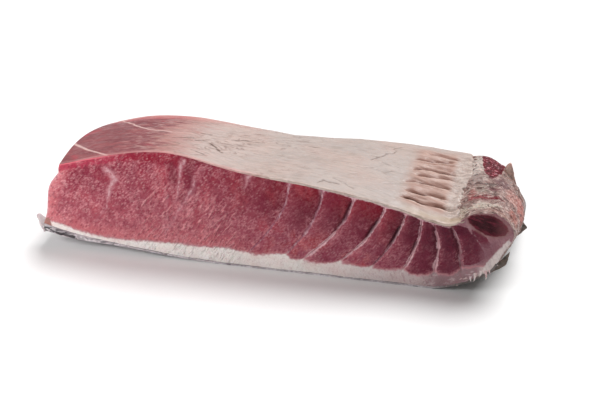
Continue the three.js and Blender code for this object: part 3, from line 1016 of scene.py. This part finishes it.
# %% The end of every finish
def finish_off(shader, colour, bumps, wetness, relief=1.0):
    """Feeds a shader its colour, the moist fibres' gloss, and bumps laid one over another.

    A bump is its height and its depth in mm. The height None stands for the moist fibres' own.
    """
    tree, normal = shader.id_data, None
    fibres = add_node(tree, "Group", {"Relief": relief, "Wetness": wetness}, node_tree=moist)
    for height, depth in bumps:
        height = fibres.outputs["Height"] if height is None else height
        inputs = {"Height": height, "Distance": depth * MM, "Strength": 1.0}
        if normal is not None:
            inputs["Normal"] = normal
        normal = add_node(tree, "Bump", inputs).outputs["Normal"]
    finish = {"Base Color": colour, "Roughness": fibres.outputs["Roughness"], "Normal": normal}
    for socket, output in finish.items():
        tree.links.new(output, shader.inputs[socket])
    print("finish done, nodes:", len(tree.nodes))

# %% Line marks, a node group
def vector_math(tree, operation, a, b=(0, 0, 0), output="Vector"):
    return add_node(tree, "VectorMath", {0: a, 1: b}, operation=operation).outputs[output]


mark, given, result = new_group("line mark", {"Start width": 1.0, "End width": 1.0}, [("Float", "Mask")],
                                vectors=["Place", "Start", "End"])
away = vector_math(mark, "SUBTRACT", given["Place"], given["Start"])
span = vector_math(mark, "SUBTRACT", given["End"], given["Start"])
part_way = math_of(mark, "DIVIDE", vector_math(mark, "DOT_PRODUCT", away, span, "Value"),
                   vector_math(mark, "DOT_PRODUCT", span, span, "Value"))
part_way = add_node(mark, "Clamp", {"Value": part_way}).outputs[0]
nearest = add_node(mark, "VectorMath", {0: span, "Scale": part_way}, operation="SCALE").outputs["Vector"]
distance = vector_math(mark, "DISTANCE", away, nearest, "Value")
inputs = {"Value": part_way, "To Min": given["Start width"], "To Max": given["End width"]}
width = add_node(mark, "MapRange", inputs).outputs["Result"]
inputs = {"Value": distance, "From Min": 0.0, "From Max": width, "To Min": 1.0, "To Max": 0.0}
mark.links.new(add_node(mark, "MapRange", inputs).outputs["Result"], result["Mask"])
print(mark.name, "nodes:", len(mark.nodes))

# %% Drawing line marks
def flat_place(tree, flat, warp, size, seed=0.0):
    """Object coordinates in mm with one axis flattened, wandering by warp mm so that lines waver."""
    keep = [axis != flat for axis in range(3)]
    scaled = mapped(tree, object_place(tree), Scale=[1000 * k for k in keep])
    moved = mapped(tree, scaled, Location=(seed, seed, seed))
    inputs = {"Vector": moved, "Scale": 1 / size, "Detail": 3.0}
    wander = add_node(tree, "TexNoise", inputs).outputs["Color"]
    wander = vector_math(tree, "SUBTRACT", wander, (0.5, 0.5, 0.5))
    wander = vector_math(tree, "MULTIPLY", wander, [2 * warp * k for k in keep])
    return vector_math(tree, "ADD", scaled, wander)


def marks_of(place, flat, marks):
    """The strongest of several line marks, each (start, end, start width, end width, strength)."""
    strongest = None
    for start, end, start_width, end_width, strength in marks:
        inputs = {"Place": place, "Start": np.insert(start, flat, 0), "End": np.insert(end, flat, 0),
                  "Start width": start_width, "End width": end_width}
        made = Value(add_node(place.id_data, "Group", inputs, node_tree=mark).outputs["Mask"]) * strength
        strongest = made if strongest is None else larger(strongest, made)
    return strongest

# %% [markdown]
# The cut flesh is the finish that matters most. Inside a flake it runs from deep red under the
# lining to rose above the fat, with fine white specks of marbling. Where the kept distance "inside"
# runs out the flesh gives way to the pale tissue of a seam, and below the fat line to white fat.

# %% Marks on the cut faces
# A mark, in mm: start and end (x, z), width at both ends, strength.
VEINS = [
    ((-149, 83), (-144, 80), 5.6, 6.8, 1.0), ((-144, 80), (-141, 75), 6.8, 6.4, 1.0),
    ((-141, 75), (-146, 66), 6.0, 4.8, 0.95), ((-146, 66), (-149, 55), 4.6, 3.8, 0.85),
    ((-149, 55), (-150, 45), 2.2, 2.0, 0.75), ((-150, 45), (-155, 39), 2.2, 2.6, 0.5),
    ((-155, 39), (-162, 29), 2.6, 3.0, 0.35), ((-77, 99), (-79, 92), 5.0, 4.0, 1.0),
    ((-79, 92), (-81, 84), 3.2, 2.8, 0.9), ((-81, 84), (-83, 65), 2.8, 2.2, 0.75),
    ((-83, 65), (-86, 57), 2.2, 2.2, 0.45), ((-60, 91), (-66, 84), 4.0, 5.0, 0.45),
    ((-66, 84), (-69, 73), 5.0, 4.4, 0.7), ((-69, 73), (-76, 60), 4.4, 4.0, 0.75),
    ((-76, 60), (-83, 49), 3.8, 3.4, 0.8), ((-83, 49), (-96, 26), 3.4, 3.2, 0.65),
    ((-92, 66), (-94, 38), 2.4, 2.4, 0.4), ((-94, 38), (-99, 24), 2.4, 2.6, 0.32),
    ((-78, 52), (-84, 28), 3.0, 3.0, 0.25), ((-118, 48), (-126, 26), 3.4, 3.4, 0.2),
    ((-176, 44), (-160, 47), 3.0, 3.0, 0.2), ((-16, 96), (-18, 88), 6.4, 4.6, 1.0),
    ((-18, 88), (-22, 76), 3.4, 2.6, 0.6), ((19, 92), (18, 85), 6.0, 3.2, 1.0),
    ((48, 88), (47, 81), 6.0, 4.0, 0.9),
]
DARK_MARKS = [
    ((-143, 85), (-140, 80), 3.4, 2.6, 0.7), ((-72, 92), (-70, 70), 8.0, 6.0, 0.8),
    ((-80, 67), (-78, 57), 5.0, 4.0, 0.5), ((-88, 95), (-86, 78), 6.0, 6.0, 0.8),
    ((-149, 41), (-147, 37), 5.0, 5.0, 0.45), ((-176, 72), (-165, 66), 9.0, 9.0, 0.4),
]

# %% Cut flesh: the red of the flakes
cut, tree, shader = new_finish("cut flesh", 0.45, subsurface=0.1, specular=0.15)
shown, height_up, above_fat = kept(tree, "flakes_show"), kept(tree, "height"), kept(tree, "above_fat")
from_flank, crimson = kept(tree, "from_flank"), kept(tree, "crimson")
plain = 1.0 - shown
x_mm = along_mm(tree)
before_edge = x_mm.rise(130, 95)
rough_fine = noise_of(tree, 2.6, seed=2.0, detail=4) - 0.5
patchy = noise_of(tree, 14, stretch=(1, 1, 1.6), seed=2.2, detail=4)
warm = noise_of(tree, 10, seed=2.3, detail=2).rise(0.5, 0.62, 0.5) * shown * height_up.rise(0.6, 0.35)
salmon = larger(from_flank.rise(14, 1) * 0.75, plain * above_fat.rise(18, 1, 0.55))
# A crimson band runs under the lining, deeper in colour towards the flakes.
band = (crimson + rough_fine * 1.3).rise(1.15, 0.7, 0.85) * x_mm.rise(-30, -75)
band_colour = layered(
    (172, 48, 74),
    (x_mm.rise(-160, -115), (140, 12, 42)),
    (x_mm.rise(-90, -66), (112, 8, 34)),
)
# Rose above the fat and dark red under the lining. It is lighter on the flank side, partly painted light.
flank_red = mix(height_up.rise(0.12, 0.9), (170, 82, 95), (138, 40, 60))
flake_red = mix(height_up.rise(0.15, 0.8), (158, 78, 96), (92, 8, 32))
flesh = layered(
    mix(shown, flank_red, flake_red),
    # The flank side of each flake is lighter: painted light.
    (kept(tree, "across_flake").rise(0.6, 0.1, 0.45) * shown, (166, 78, 94)),
    (warm * before_edge, (170, 64, 62)),
    (height_up.rise(0.66, 0.92, 0.7) * shown * before_edge, (128, 4, 30)),
    # Darker towards the belly edge: partly the flesh's own deeper red, partly painted shade.
    (x_mm.rise(95, 150, 0.7), (80, 20, 42)),
    (x_mm.rise(172, 184, 0.7), (98, 38, 54)),
    (patchy.rise(0.42, 0.68, 0.45), (120, 34, 58)),
    (patchy.rise(0.46, 0.3, 0.4) * x_mm.rise(120, 80), (184, 74, 84)),
    # Salmon by the flank cut and over the fat on the flank side: partly painted light.
    (salmon, (214, 118, 124)),
    (from_flank.rise(2.2, 0.4, 0.7), (206, 158, 164)),
    (band, band_colour),
)
print("nodes for the red:", len(tree.nodes))

# %% Cut flesh: marbling and veins
specks = grains_of(tree, 1.5, stretch=(1, 1, 1.4), turn=(0, -0.8, 0), seed=2.4, least=0.35)
steep = grains_of(tree, 1.3, stretch=(1, 1, 3.2), turn=(0, -0.75, 0), seed=2.6, least=0.35)
flat = grains_of(tree, 1.5, stretch=(4, 1, 1), turn=(0, 0.3, 0), seed=2.62, least=0.55)
soft = noise_of(tree, 3, stretch=(1, 1, 1.8), turn=(0, -0.7, 0), seed=2.7, detail=5, rough=0.65)
marbling = larger(specks, larger(steep, flat * 0.8)) * 0.7 + soft.rise(0.42, 0.68) * 0.5
streaks = noise_of(tree, 2.2, stretch=(1, 1, 5), turn=(0, -0.6, 0), seed=2.65, detail=4).rise(0.5, 0.64)
streaky = x_mm.rise(-135, -105, 0.75) * x_mm.rise(-15, -45) * height_up.rise(0.85, 0.5)
# Marbling is strongest near a seam and on the flank side, and fails in patches and at the flake tops.
near_seam = kept(tree, "near_seam").rise(6.5, 0.5, 0.3)
smooth_patch = noise_of(tree, 16, seed=2.35, detail=2).rise(0.54, 0.64, 0.7)
amount = (plain * 0.22 + (0.3 + near_seam)) * noise_of(tree, 12, seed=2.75, detail=2).rise(0.25, 0.55)
amount = (amount - x_mm.rise(110, 150, 0.2)) * (1.0 - smooth_patch * plain) * (1.0 - band * 0.35)
quiet = shown * height_up.rise(0.45, 0.85, 0.65)
# Glints are painted highlights: small white specks of wet shine, fewer high on the flakes.
glints = grains_of(tree, 1.5, stretch=(1, 1, 2.2), turn=(0, -0.9, 0), seed=2.45, least=0.62)
few = 0.26 - shown * height_up.rise(0.2, 0.55, 0.85) * 0.26
dark = grains_of(tree, 1.9, stretch=(1, 1, 1.6), turn=(0, -0.7, 0), seed=2.8, least=0.4) * 0.4
face_place = flat_place(tree, Y, 1.6, 9, seed=31)
dark_mark = marks_of(face_place, Y, DARK_MARKS) * (1.0 + rough_fine)
vein = marks_of(face_place, Y, VEINS) * (0.85 + rough_fine * 1.8)
vein_colour = mix(vein.rise(0.4, 0.95), (186, 122, 132), (206, 166, 170))
# The last two are a pink lip at the top of the flank corner, and the shade before each open seam.
lip = crimson.rise(0.25, 0.03, 0.8) * x_mm.rise(-130, -155)
shade = kept(tree, "to_next").rise(4.0, 0.6, 0.55) * height_up.rise(0.3, 0.6) * x_mm.rise(10, 50)
flesh = layered(
    flesh,
    (streaks * streaky, (214, 138, 144)),
    (marbling * (amount * (1.0 - quiet)), (230, 160, 166)),
    (glints * (few * x_mm.rise(150, 110)), (240, 192, 192)),
    (dark, (112, 22, 46)),
    (dark_mark * 0.8, (104, 18, 40)),
    (vein.rise(0.05, 0.75, 0.8), vein_colour),
    (lip, (236, 126, 138)),
    (shade, (76, 14, 34)),
)
print("nodes with the marbling:", len(tree.nodes))

# %% Cut flesh: seams and fat
# The tissue of a seam is pale and stringy where the seam is strong, and mauve where it is lost.
paleness = kept(tree, "paleness") + (noise_of(tree, 7, seed=2.95, detail=4) - 0.5) * 1.6
stringy = noise_of(tree, 2.2, stretch=(1, 1, 3.0), turn=(0, 0.35, 0), seed=2.9, detail=4)
pale_tissue = layered(
    mix(paleness.rise(0.15, 1.0), (150, 88, 104), (222, 178, 184)),
    (stringy.rise(0.5, 0.66, 0.5), (214, 180, 186)),
    (stringy.rise(0.46, 0.34, 0.4), (128, 74, 86)),
    (x_mm.rise(142, 182, 0.75), (126, 82, 90)),
)
# White fat with a pink blush. Towards the belly edge it is greyer, partly painted shade, and below the last
# flakes it is darker, painted shade.
fat_blush = noise_of(tree, 13, stretch=(2, 1, 1), seed=3.0, detail=4).rise(0.4, 0.75, 0.55)
fat_specks = noise_of(tree, 3.0, seed=3.2, detail=4).rise(0.52, 0.68, 0.22)
fat_veins = noise_of(tree, 4.0, stretch=(2.5, 1, 1), turn=(0, 0.35, 0), seed=3.3, detail=5, rough=0.65)
fat = layered(
    mix(fat_blush, (250, 242, 238), (238, 212, 208)),
    (x_mm.rise(20, 160, 0.75), (188, 160, 162)),
    (fat_specks, (206, 166, 168)),
    (x_mm.rise(128, 156, 0.75) * x_mm.rise(190, 182), (138, 97, 105)),
    (fat_veins.rise(0.5, 0.64, 0.6) * x_mm.rise(60, 140), (216, 194, 196)),
    (stringy.rise(0.46, 0.36, 0.5) * x_mm.rise(60, 140), (168, 116, 128)),
)
inside = kept(tree, "inside") + rough_fine * 3.0
mauve = kept(tree, "mauve") + rough_fine * 5.0
into_fat = above_fat + rough_fine * 4.5
wedge = kept(tree, "wedge") + rough_fine * 2.5
wedge_colour = mix(stringy.rise(0.4, 0.64), (220, 208, 204), (204, 190, 188))
surface = layered(
    mix(inside.rise(-0.1, 0.9), pale_tissue, flesh),
    (mauve.rise(-2.0, 4.0, 0.75), (130, 84, 94)),
    (into_fat.rise(2.6, -0.4, 0.8), (200, 136, 142)),
    (into_fat.rise(0.6, -2.0), fat),
    (wedge.rise(-0.8, 1.2, 0.9), wedge_colour),
)
print("nodes with seams and fat:", len(tree.nodes))

# %% Cut flesh: the oval muscle, dry corner and gloss
muscle = kept(tree, "edge_muscle") + rough_fine * 2.0
grain = noise_of(tree, 2.2, stretch=(4, 1, 1), turn=(0, -0.3, 0), seed=3.4, detail=4)
muscle_colour = layered(
    (82, 16, 32),
    (muscle.rise(0.6, 4.0, 0.9), (50, 3, 16)),
    (x_mm.rise(194, 207, 0.6), (124, 68, 74)),
    (grain.rise(0.5, 0.68, 0.5), (118, 38, 56)),
)
tan = kept(tree, "tan") + rough_fine * 3.0
surface = layered(
    surface,
    (muscle.rise(-3.0, 0.0, 0.6), (140, 100, 98)),
    (muscle.rise(-0.5, 1.2), muscle_colour),
    (tan.rise(-0.6, 1.2), (168, 116, 108)),
    # The open crevices are darkened with painted shade.
    (kept(tree, "crevice").rise(0.1, 0.75, 0.8), (66, 14, 30)),
)
finish_off(shader, surface, [(None, 0.5), (marbling, 0.3), (streaks * streaky, 0.8)], wetness=0.4)

# %% Torn tissue of the belly edge
torn_tissue, tree, shader = new_finish("torn tissue", 0.5, subsurface=0.1, specular=0.25)
tint = add_node(tree, "Attribute", attribute_name="tint").outputs["Color"]
threads = noise_of(tree, 2.6, stretch=(3.0, 1, 1), turn=(0, 0.5, 0.2), seed=4.1, detail=5, warp=0.8)
pits = noise_of(tree, 4.0, stretch=(1.5, 1, 1), seed=4.5, detail=5, warp=1.0).rise(0.57, 0.64, 0.7)
speck = noise_of(tree, 2.8, seed=4.2, detail=3).rise(0.58, 0.63)
muscle = kept(tree, "top_muscle") + (noise_of(tree, 3, seed=4.0, detail=4) - 0.5) * 5.0
red = layered(
    (116, 7, 32),
    (noise_of(tree, 4.0, seed=4.6, detail=3).rise(0.4, 0.6, 0.7), (66, 3, 18)),
    (speck * 0.62, (232, 160, 170)),
)
surface = layered(
    tint,
    (threads.rise(0.54, 0.62, 0.5), (222, 198, 190)),
    (threads.rise(0.46, 0.38, 0.55), (108, 68, 64)),
    # The pits are darkened with painted shade.
    (pits, (92, 58, 56)),
    (muscle.rise(-0.4, 0.6), red),
)
finish_off(shader, surface, [(None, 0.9), (threads, 0.8), (pits, -1.4)], wetness=0.35, relief=1.6)

# %% [markdown]
# The lining has three grounds: the plain sheet with its wrinkles, the glassy film that lets the red
# flesh through, and the crackled strip before the torn end. Each is mixed on its own, and then the
# wavering border between film and sheet brings them together. Creases and seams are drawn last.

# %% Marks on the lining
# Seams and red spots that show through the film, in mm: start and end (x, y), widths, strength.
SEPTA = [
    ((-208, -4), (-190, -24), 2.8, 2.8, 0.9), ((-190, -24), (-172, -43), 2.8, 1.9, 0.9),
    ((-172, -43), (-147, -65), 1.9, 2.4, 0.8), ((-180, 67), (-172, 50), 1.6, 2.0, 0.8),
    ((-172, 50), (-148, 20), 2.0, 2.2, 0.8), ((-148, 20), (-130, 4), 2.2, 2.0, 0.9),
    ((-130, 4), (-106, -4), 2.0, 2.4, 0.9), ((-106, -4), (-86, -3), 2.4, 1.6, 0.6),
]
SPOTS = [
    ((-197, 8), (-188, 22), 6.0, 6.0, 0.9), ((-178, 48), (-166, 52), 5.0, 5.0, 0.9),
    ((-163, 50), (-150, 56), 7.0, 8.0, 0.8), ((-150, 56), (-110, 58), 12.0, 14.0, 0.8),
    ((-128, 36), (-106, 40), 6.0, 5.0, 0.5), ((-185, -50), (-178, -60), 6.0, 6.0, 0.5),
    ((-182, -2), (-176, 6), 4.0, 4.0, 0.4), ((-118, -44), (-104, -50), 5.0, 4.0, 0.4),
    ((-112, -12), (-98, -16), 3.0, 2.6, 0.5),
]

# %% Belly lining: the plain sheet
sheet, tree, shader = new_finish(
    "belly lining", 0.5, subsurface=0.1, radius=(1.0, 0.6, 0.45), specular=0.35)
past, from_front, from_back = (kept(tree, name) for name in ("past_film", "from_front", "from_back"))
x_mm = along_mm(tree)
wisps = noise_of(tree, 6, stretch=(6, 1, 1), turn=(0, 0, 0.1), seed=5.0, detail=4, warp=0.6)
wide = noise_of(tree, 34, stretch=(1.6, 1, 1), seed=5.2, detail=4)
lines = noise_of(tree, 1.7, stretch=(9, 1, 1), turn=(0, 0, 0.06), seed=5.4, detail=3, warp=0.5)
mottle = noise_of(tree, 3.2, stretch=(2, 1, 1), seed=5.5, detail=4)
pale = layered(
    mix(wide.rise(0.35, 0.65), (178, 165, 160), (185, 171, 165)),
    (noise_of(tree, 50, seed=5.6, detail=3).rise(0.42, 0.66, 0.5), (188, 162, 153)),
    (wisps.rise(0.5, 0.75, 0.5), (160, 148, 138)),
    (mottle.rise(0.5, 0.7, 0.3), (198, 180, 170)),
    (lines.rise(0.52, 0.68, 0.35), (150, 132, 122)),
)
# The crackled strip, and the yellow-brown of the front edge by the wrinkles.
crackle = abs(noise_of(tree, 3.0, stretch=(1.6, 1, 1), seed=5.8, detail=4, warp=1.5) - 0.5)
strip = mix(mottle.rise(0.4, 0.62), (200, 183, 174), (168, 148, 140))
strip = mix(crackle.rise(0.03, 0.0, 0.6), strip, (116, 100, 92))
olive = (from_front + wisps * 16.0).rise(20.0, 12.0, 0.5) * x_mm.rise(110.0, 135.0)
# The wrinkles have tan slopes. The light crests are a painted highlight, and the brown grooves are darkened
# with painted shade.
ridge_colour = mix(wisps.rise(0.4, 0.6), (184, 152, 140), (168, 132, 120))
groove = kept(tree, "groove") * (0.5 + mottle)
tan = layered(
    mix(kept(tree, "ridges"), pale, ridge_colour),
    (kept(tree, "crest") * 0.75, (216, 192, 180)),
    (groove.rise(0.08, 0.4, 0.85), (142, 100, 86)),
    (groove.rise(0.42, 0.8, 0.85), (96, 60, 48)),
    (kept(tree, "strip") * 0.85, strip),
    (x_mm.rise(10.0, -60.0, 0.35), (204, 176, 168)),
    (olive, (172, 148, 118)),
)

# %% Belly lining: the film over the flesh
spots = marks_of(flat_place(tree, Z, 2.5, 10, seed=51), Z, SPOTS) * (0.5 + wisps)
film = layered(
    mix(wide.rise(0.35, 0.62), (118, 57, 63), (132, 72, 77)),
    (mottle.rise(0.5, 0.7, 0.3), (150, 96, 98)),
    (lines.rise(0.5, 0.7, 0.5), (164, 116, 116)),
    (wisps.rise(0.52, 0.68, 0.55), (122, 48, 60)),
    (from_back.rise(22.0, 8.0, 0.35), (176, 92, 98)),
    (spots.rise(0.1, 0.6, 0.75), (158, 48, 66)),
)
# The border wavers by the wisps and the fine lines, so that it ends in streaks.
border = past + (wisps - 0.5) * 75.0 + (lines - 0.5) * 40.0
whitish = lines.rise(0.53, 0.66) * border.rise(-46.0, -20.0, 0.6) * border.rise(20.0, -10.0)
# Dark crease lines by the film border are painted shade.
crease_shade = noise_of(tree, 7, stretch=(3.5, 1, 1), turn=(0, 0, -0.25), seed=5.9, detail=4, warp=0.8)
crease_shade = abs(crease_shade - 0.5).rise(0.045, 0.0) * wide.rise(0.38, 0.54) * x_mm.rise(80.0, -50.0, 0.7)
surface = layered(
    film,
    (border.rise(-22, 4), (178, 134, 128)),
    (border.rise(-4, 34), tan),
    (whitish, (206, 172, 164)),
    (crease_shade * past.rise(-30.0, 0.0), (130, 102, 94)),
)

# %% Belly lining: folds, seams and rims
fold = (kept(tree, "fold") * mottle.rise(0.2, 0.48)).rise(0.15, 0.8) * (0.6 + x_mm.rise(30.0, -50.0, 0.3))
blot = wisps.rise(0.5, 0.64) * past.rise(45.0, 5.0)
septum = marks_of(flat_place(tree, Z, 1.5, 12, seed=51), Z, SEPTA) * (0.5 + lines)
back_pink = (from_back + wisps * 26.0).rise(34.0, 12.0, 0.6) * x_mm.rise(-20.0, -80.0)
rim = kept(tree, "from_cut").rise(3.0, 0.4, 0.6) * past.rise(0.0, 40.0)
rim_colour = mix(mottle.rise(0.42, 0.6), (208, 188, 178), (166, 144, 134))
front_pink = (from_front + wisps * 8.0).rise(9.0, 3.0, 0.7) * x_mm.rise(10.0, -50.0)
surface = layered(
    surface,
    # The creases and folds are darkened with painted shade.
    (fold, (106, 86, 78)),
    (blot * 0.45, (160, 92, 92)),
    (septum.rise(0.1, 0.8, 0.8), (214, 180, 174)),
    (back_pink, (208, 148, 142)),
    (rim, rim_colour),
    (front_pink * x_mm.rise(-200.0, -160.0), (204, 142, 142)),
)
finish_off(shader, surface, [(lines, 0.45), (wisps, 0.7)], wetness=0.4, relief=0.6)

# %% [markdown]
# Tuna skin is silver with dark mottling, brown where it has dried at the belly edge, cracked at the
# flank corner and covered with tiny scales. Its inner face is a duller grey, and the kept value
# "inward" tells the two faces apart.

# %% Fish skin
# Where the skin is nearly bare of silver, in mm: start and end (x, z), widths, strength.
BLACK_MARKS = [
    ((-208, 17), (-204, 14), 1.6, 2.0, 0.6), ((-201, 13.5), (-184, 10.8), 2.0, 2.6, 0.9),
    ((-174, 13), (-166, 12), 1.6, 2.0, 0.6), ((-158, 9), (-151, 10), 2.0, 1.6, 0.6),
    ((-140, 8), (-133, 7), 1.6, 1.6, 0.5),
]
SCALES_A_METRE = 420.0
fish_skin, tree, shader = new_finish("fish skin", 0.42, subsurface=0.05, specular=0.35)
x_mm, from_front = along_mm(tree), kept(tree, "from_front")
mottle = noise_of(tree, 6, stretch=(2, 1, 1), seed=6.0, detail=4, warp=0.4)
inked = noise_of(tree, 3, stretch=(2, 1, 1), seed=6.2, detail=4).rise(0.58, 0.66, 0.6)
cracked = noise_of(tree, 2.4, stretch=(3.0, 1, 1), seed=6.4, detail=5, rough=0.6).rise(0.52, 0.58)
black = marks_of(flat_place(tree, Y, 1.2, 6, seed=61), Y, BLACK_MARKS)
black = (black * from_front.rise(9.0, 3.0) * (0.3 + mottle)).rise(0.18, 0.4, 0.9)
inputs = {"Vector": object_place(tree), "Scale": SCALES_A_METRE}
scales = Value(add_node(tree, "TexVoronoi", inputs, feature="F1").outputs["Distance"])
silver = layered(
    mix(mottle.rise(0.4, 0.6), (226, 216, 220), (188, 178, 182)),
    (x_mm.rise(130, 175, 0.9), (84, 74, 66)),
    (inked, (64, 58, 62)),
    (cracked * x_mm.rise(-150, -185, 0.9) * from_front.rise(40.0, 14.0), (42, 36, 40)),
    (black, (34, 28, 32)),
    (scales.rise(0.35, 0.75, 0.3), (84, 78, 82)),
)
inner = mix(mottle.rise(0.4, 0.6), (190, 176, 180), (140, 128, 132))
inner = mix(x_mm.rise(130, 175, 0.8), inner, (120, 104, 94))
surface = mix(kept(tree, "inward").rise(0.6, 1.0), silver, inner)
finish_off(shader, surface, [(scales, 0.25), (None, 0.4)], wetness=0.6, relief=0.6)

# %% Thin flap, horn and strands
def leaf_finish(name, light, dark, roughness, alpha=1.0):
    """A plain two-tone finish for the loose leaves, patchy over a few mm."""
    material, tree, shader = new_finish(name, roughness, subsurface=0.15, specular=0.35)
    shader.inputs["Alpha"].default_value = alpha
    patchy = noise_of(tree, 5, seed=7.0, detail=4).rise(0.42, 0.62)
    finish_off(shader, mix(patchy, light, dark), [(None, 0.4)], wetness=0.5)
    return material


flap_skin = leaf_finish("thin skin flap", (238, 230, 232), (214, 204, 208), 0.4, alpha=0.5)
brown_skin = leaf_finish("dried skin edge", (104, 90, 80), (66, 57, 51), 0.5)
brown_tissue = leaf_finish("dried tissue", (220, 186, 174), (176, 144, 134), 0.5)
white_tissue = leaf_finish("torn strands", (232, 214, 212), (206, 168, 168), 0.45)

# %% Each piece gets its finish
SMOOTH_BELOW = math.radians(50)   # edges blunter than this are shaded smooth


def wear_finish(piece, *materials):
    piece.data.materials.clear()
    for material in materials:
        piece.data.materials.append(material)


FINISHES = [
    (body, "flesh", [cut, torn_tissue]), (lining, "lining", [sheet]), (skin, "skin", [fish_skin]),
    (corner_flap, "skin", [flap_skin]), (horn, "fat", [brown_tissue]), (strands, "fat", [white_tissue]),
    (skin_corner, "skin", [brown_skin]), (skin_point, "skin", [brown_skin]),
]
for piece, slot, materials in FINISHES:
    wear_finish(piece, *materials)
    select_only(piece)
    bpy.ops.object.shade_smooth_by_angle(angle=SMOOTH_BELOW)
    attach(piece, "root")
    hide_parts("tuna_belly")
    print(piece.name, "wears", [material.name for material in materials])
body.data.polygons.foreach_set("material_index", body_side)

# %% [markdown]
# ## The table, the light and the camera
# The block lies on a plain white table in soft light. A wide lamp hangs over it, a little behind and
# to the flank side, so that the front throws a soft shadow, and pale surroundings fill in the rest.

# %% Table and light
select_only()
bpy.ops.mesh.primitive_plane_add(size=12)
table = bpy.context.object
table.name = table.data.name = "table"
table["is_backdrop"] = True
white, tree, shader = new_finish("white table", 0.9, specular=0.1)
shader.inputs["Base Color"].default_value = (0.9, 0.9, 0.9, 1)
wear_finish(table, white)

world = bpy.data.worlds.new("studio")
bpy.context.scene.world = world
world.use_nodes = True
sky = world.node_tree.nodes["Background"]
sky.inputs["Color"].default_value = (1.0, 0.985, 0.97, 1)
sky.inputs["Strength"].default_value = 0.2


def aim(thing, back):
    """Turns a lamp or a camera so that its back is to the way given."""
    thing.rotation_euler = Vector(back).to_track_quat("Z", "Y").to_euler()


def lamp(kind, name, location, energy, back):
    select_only()
    bpy.ops.object.light_add(type=kind, location=location)
    made = bpy.context.object
    made.name, made.data.energy = name, energy
    aim(made, back)
    return made.data


lamp("SUN", "overhead lamp", (-0.6, 0.6, 1.5), 3.7, (0.36, 0.6, 1)).angle = math.radians(42)
lamp("AREA", "front lamp", (-0.55, -0.45, 0.35), 2.8, (-0.45, -0.4, 0.3)).size = 0.35

# %% Camera
LENS, SENSOR = 85, 36
AZIMUTH, ELEVATION, DISTANCE = math.radians(13), math.radians(27), 1.3
target = Vector((0.013, 0, 0.039))
level = math.cos(ELEVATION)
back = Vector((math.sin(AZIMUTH) * level, -math.cos(AZIMUTH) * level, math.sin(ELEVATION)))
bpy.ops.object.camera_add(location=target + back * DISTANCE)
camera = bpy.context.object
aim(camera, back)
camera.data.lens = LENS
camera.data.sensor_width = SENSOR
bpy.context.scene.camera = camera
bpy.context.scene.view_settings.view_transform = "Standard"
print("camera in mm:", [round(v / MM) for v in camera.location])

# %% Sizes, and the end
low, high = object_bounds()
print("visual box in mm:", [round(v / MM, 1) for v in (*low, *high)])
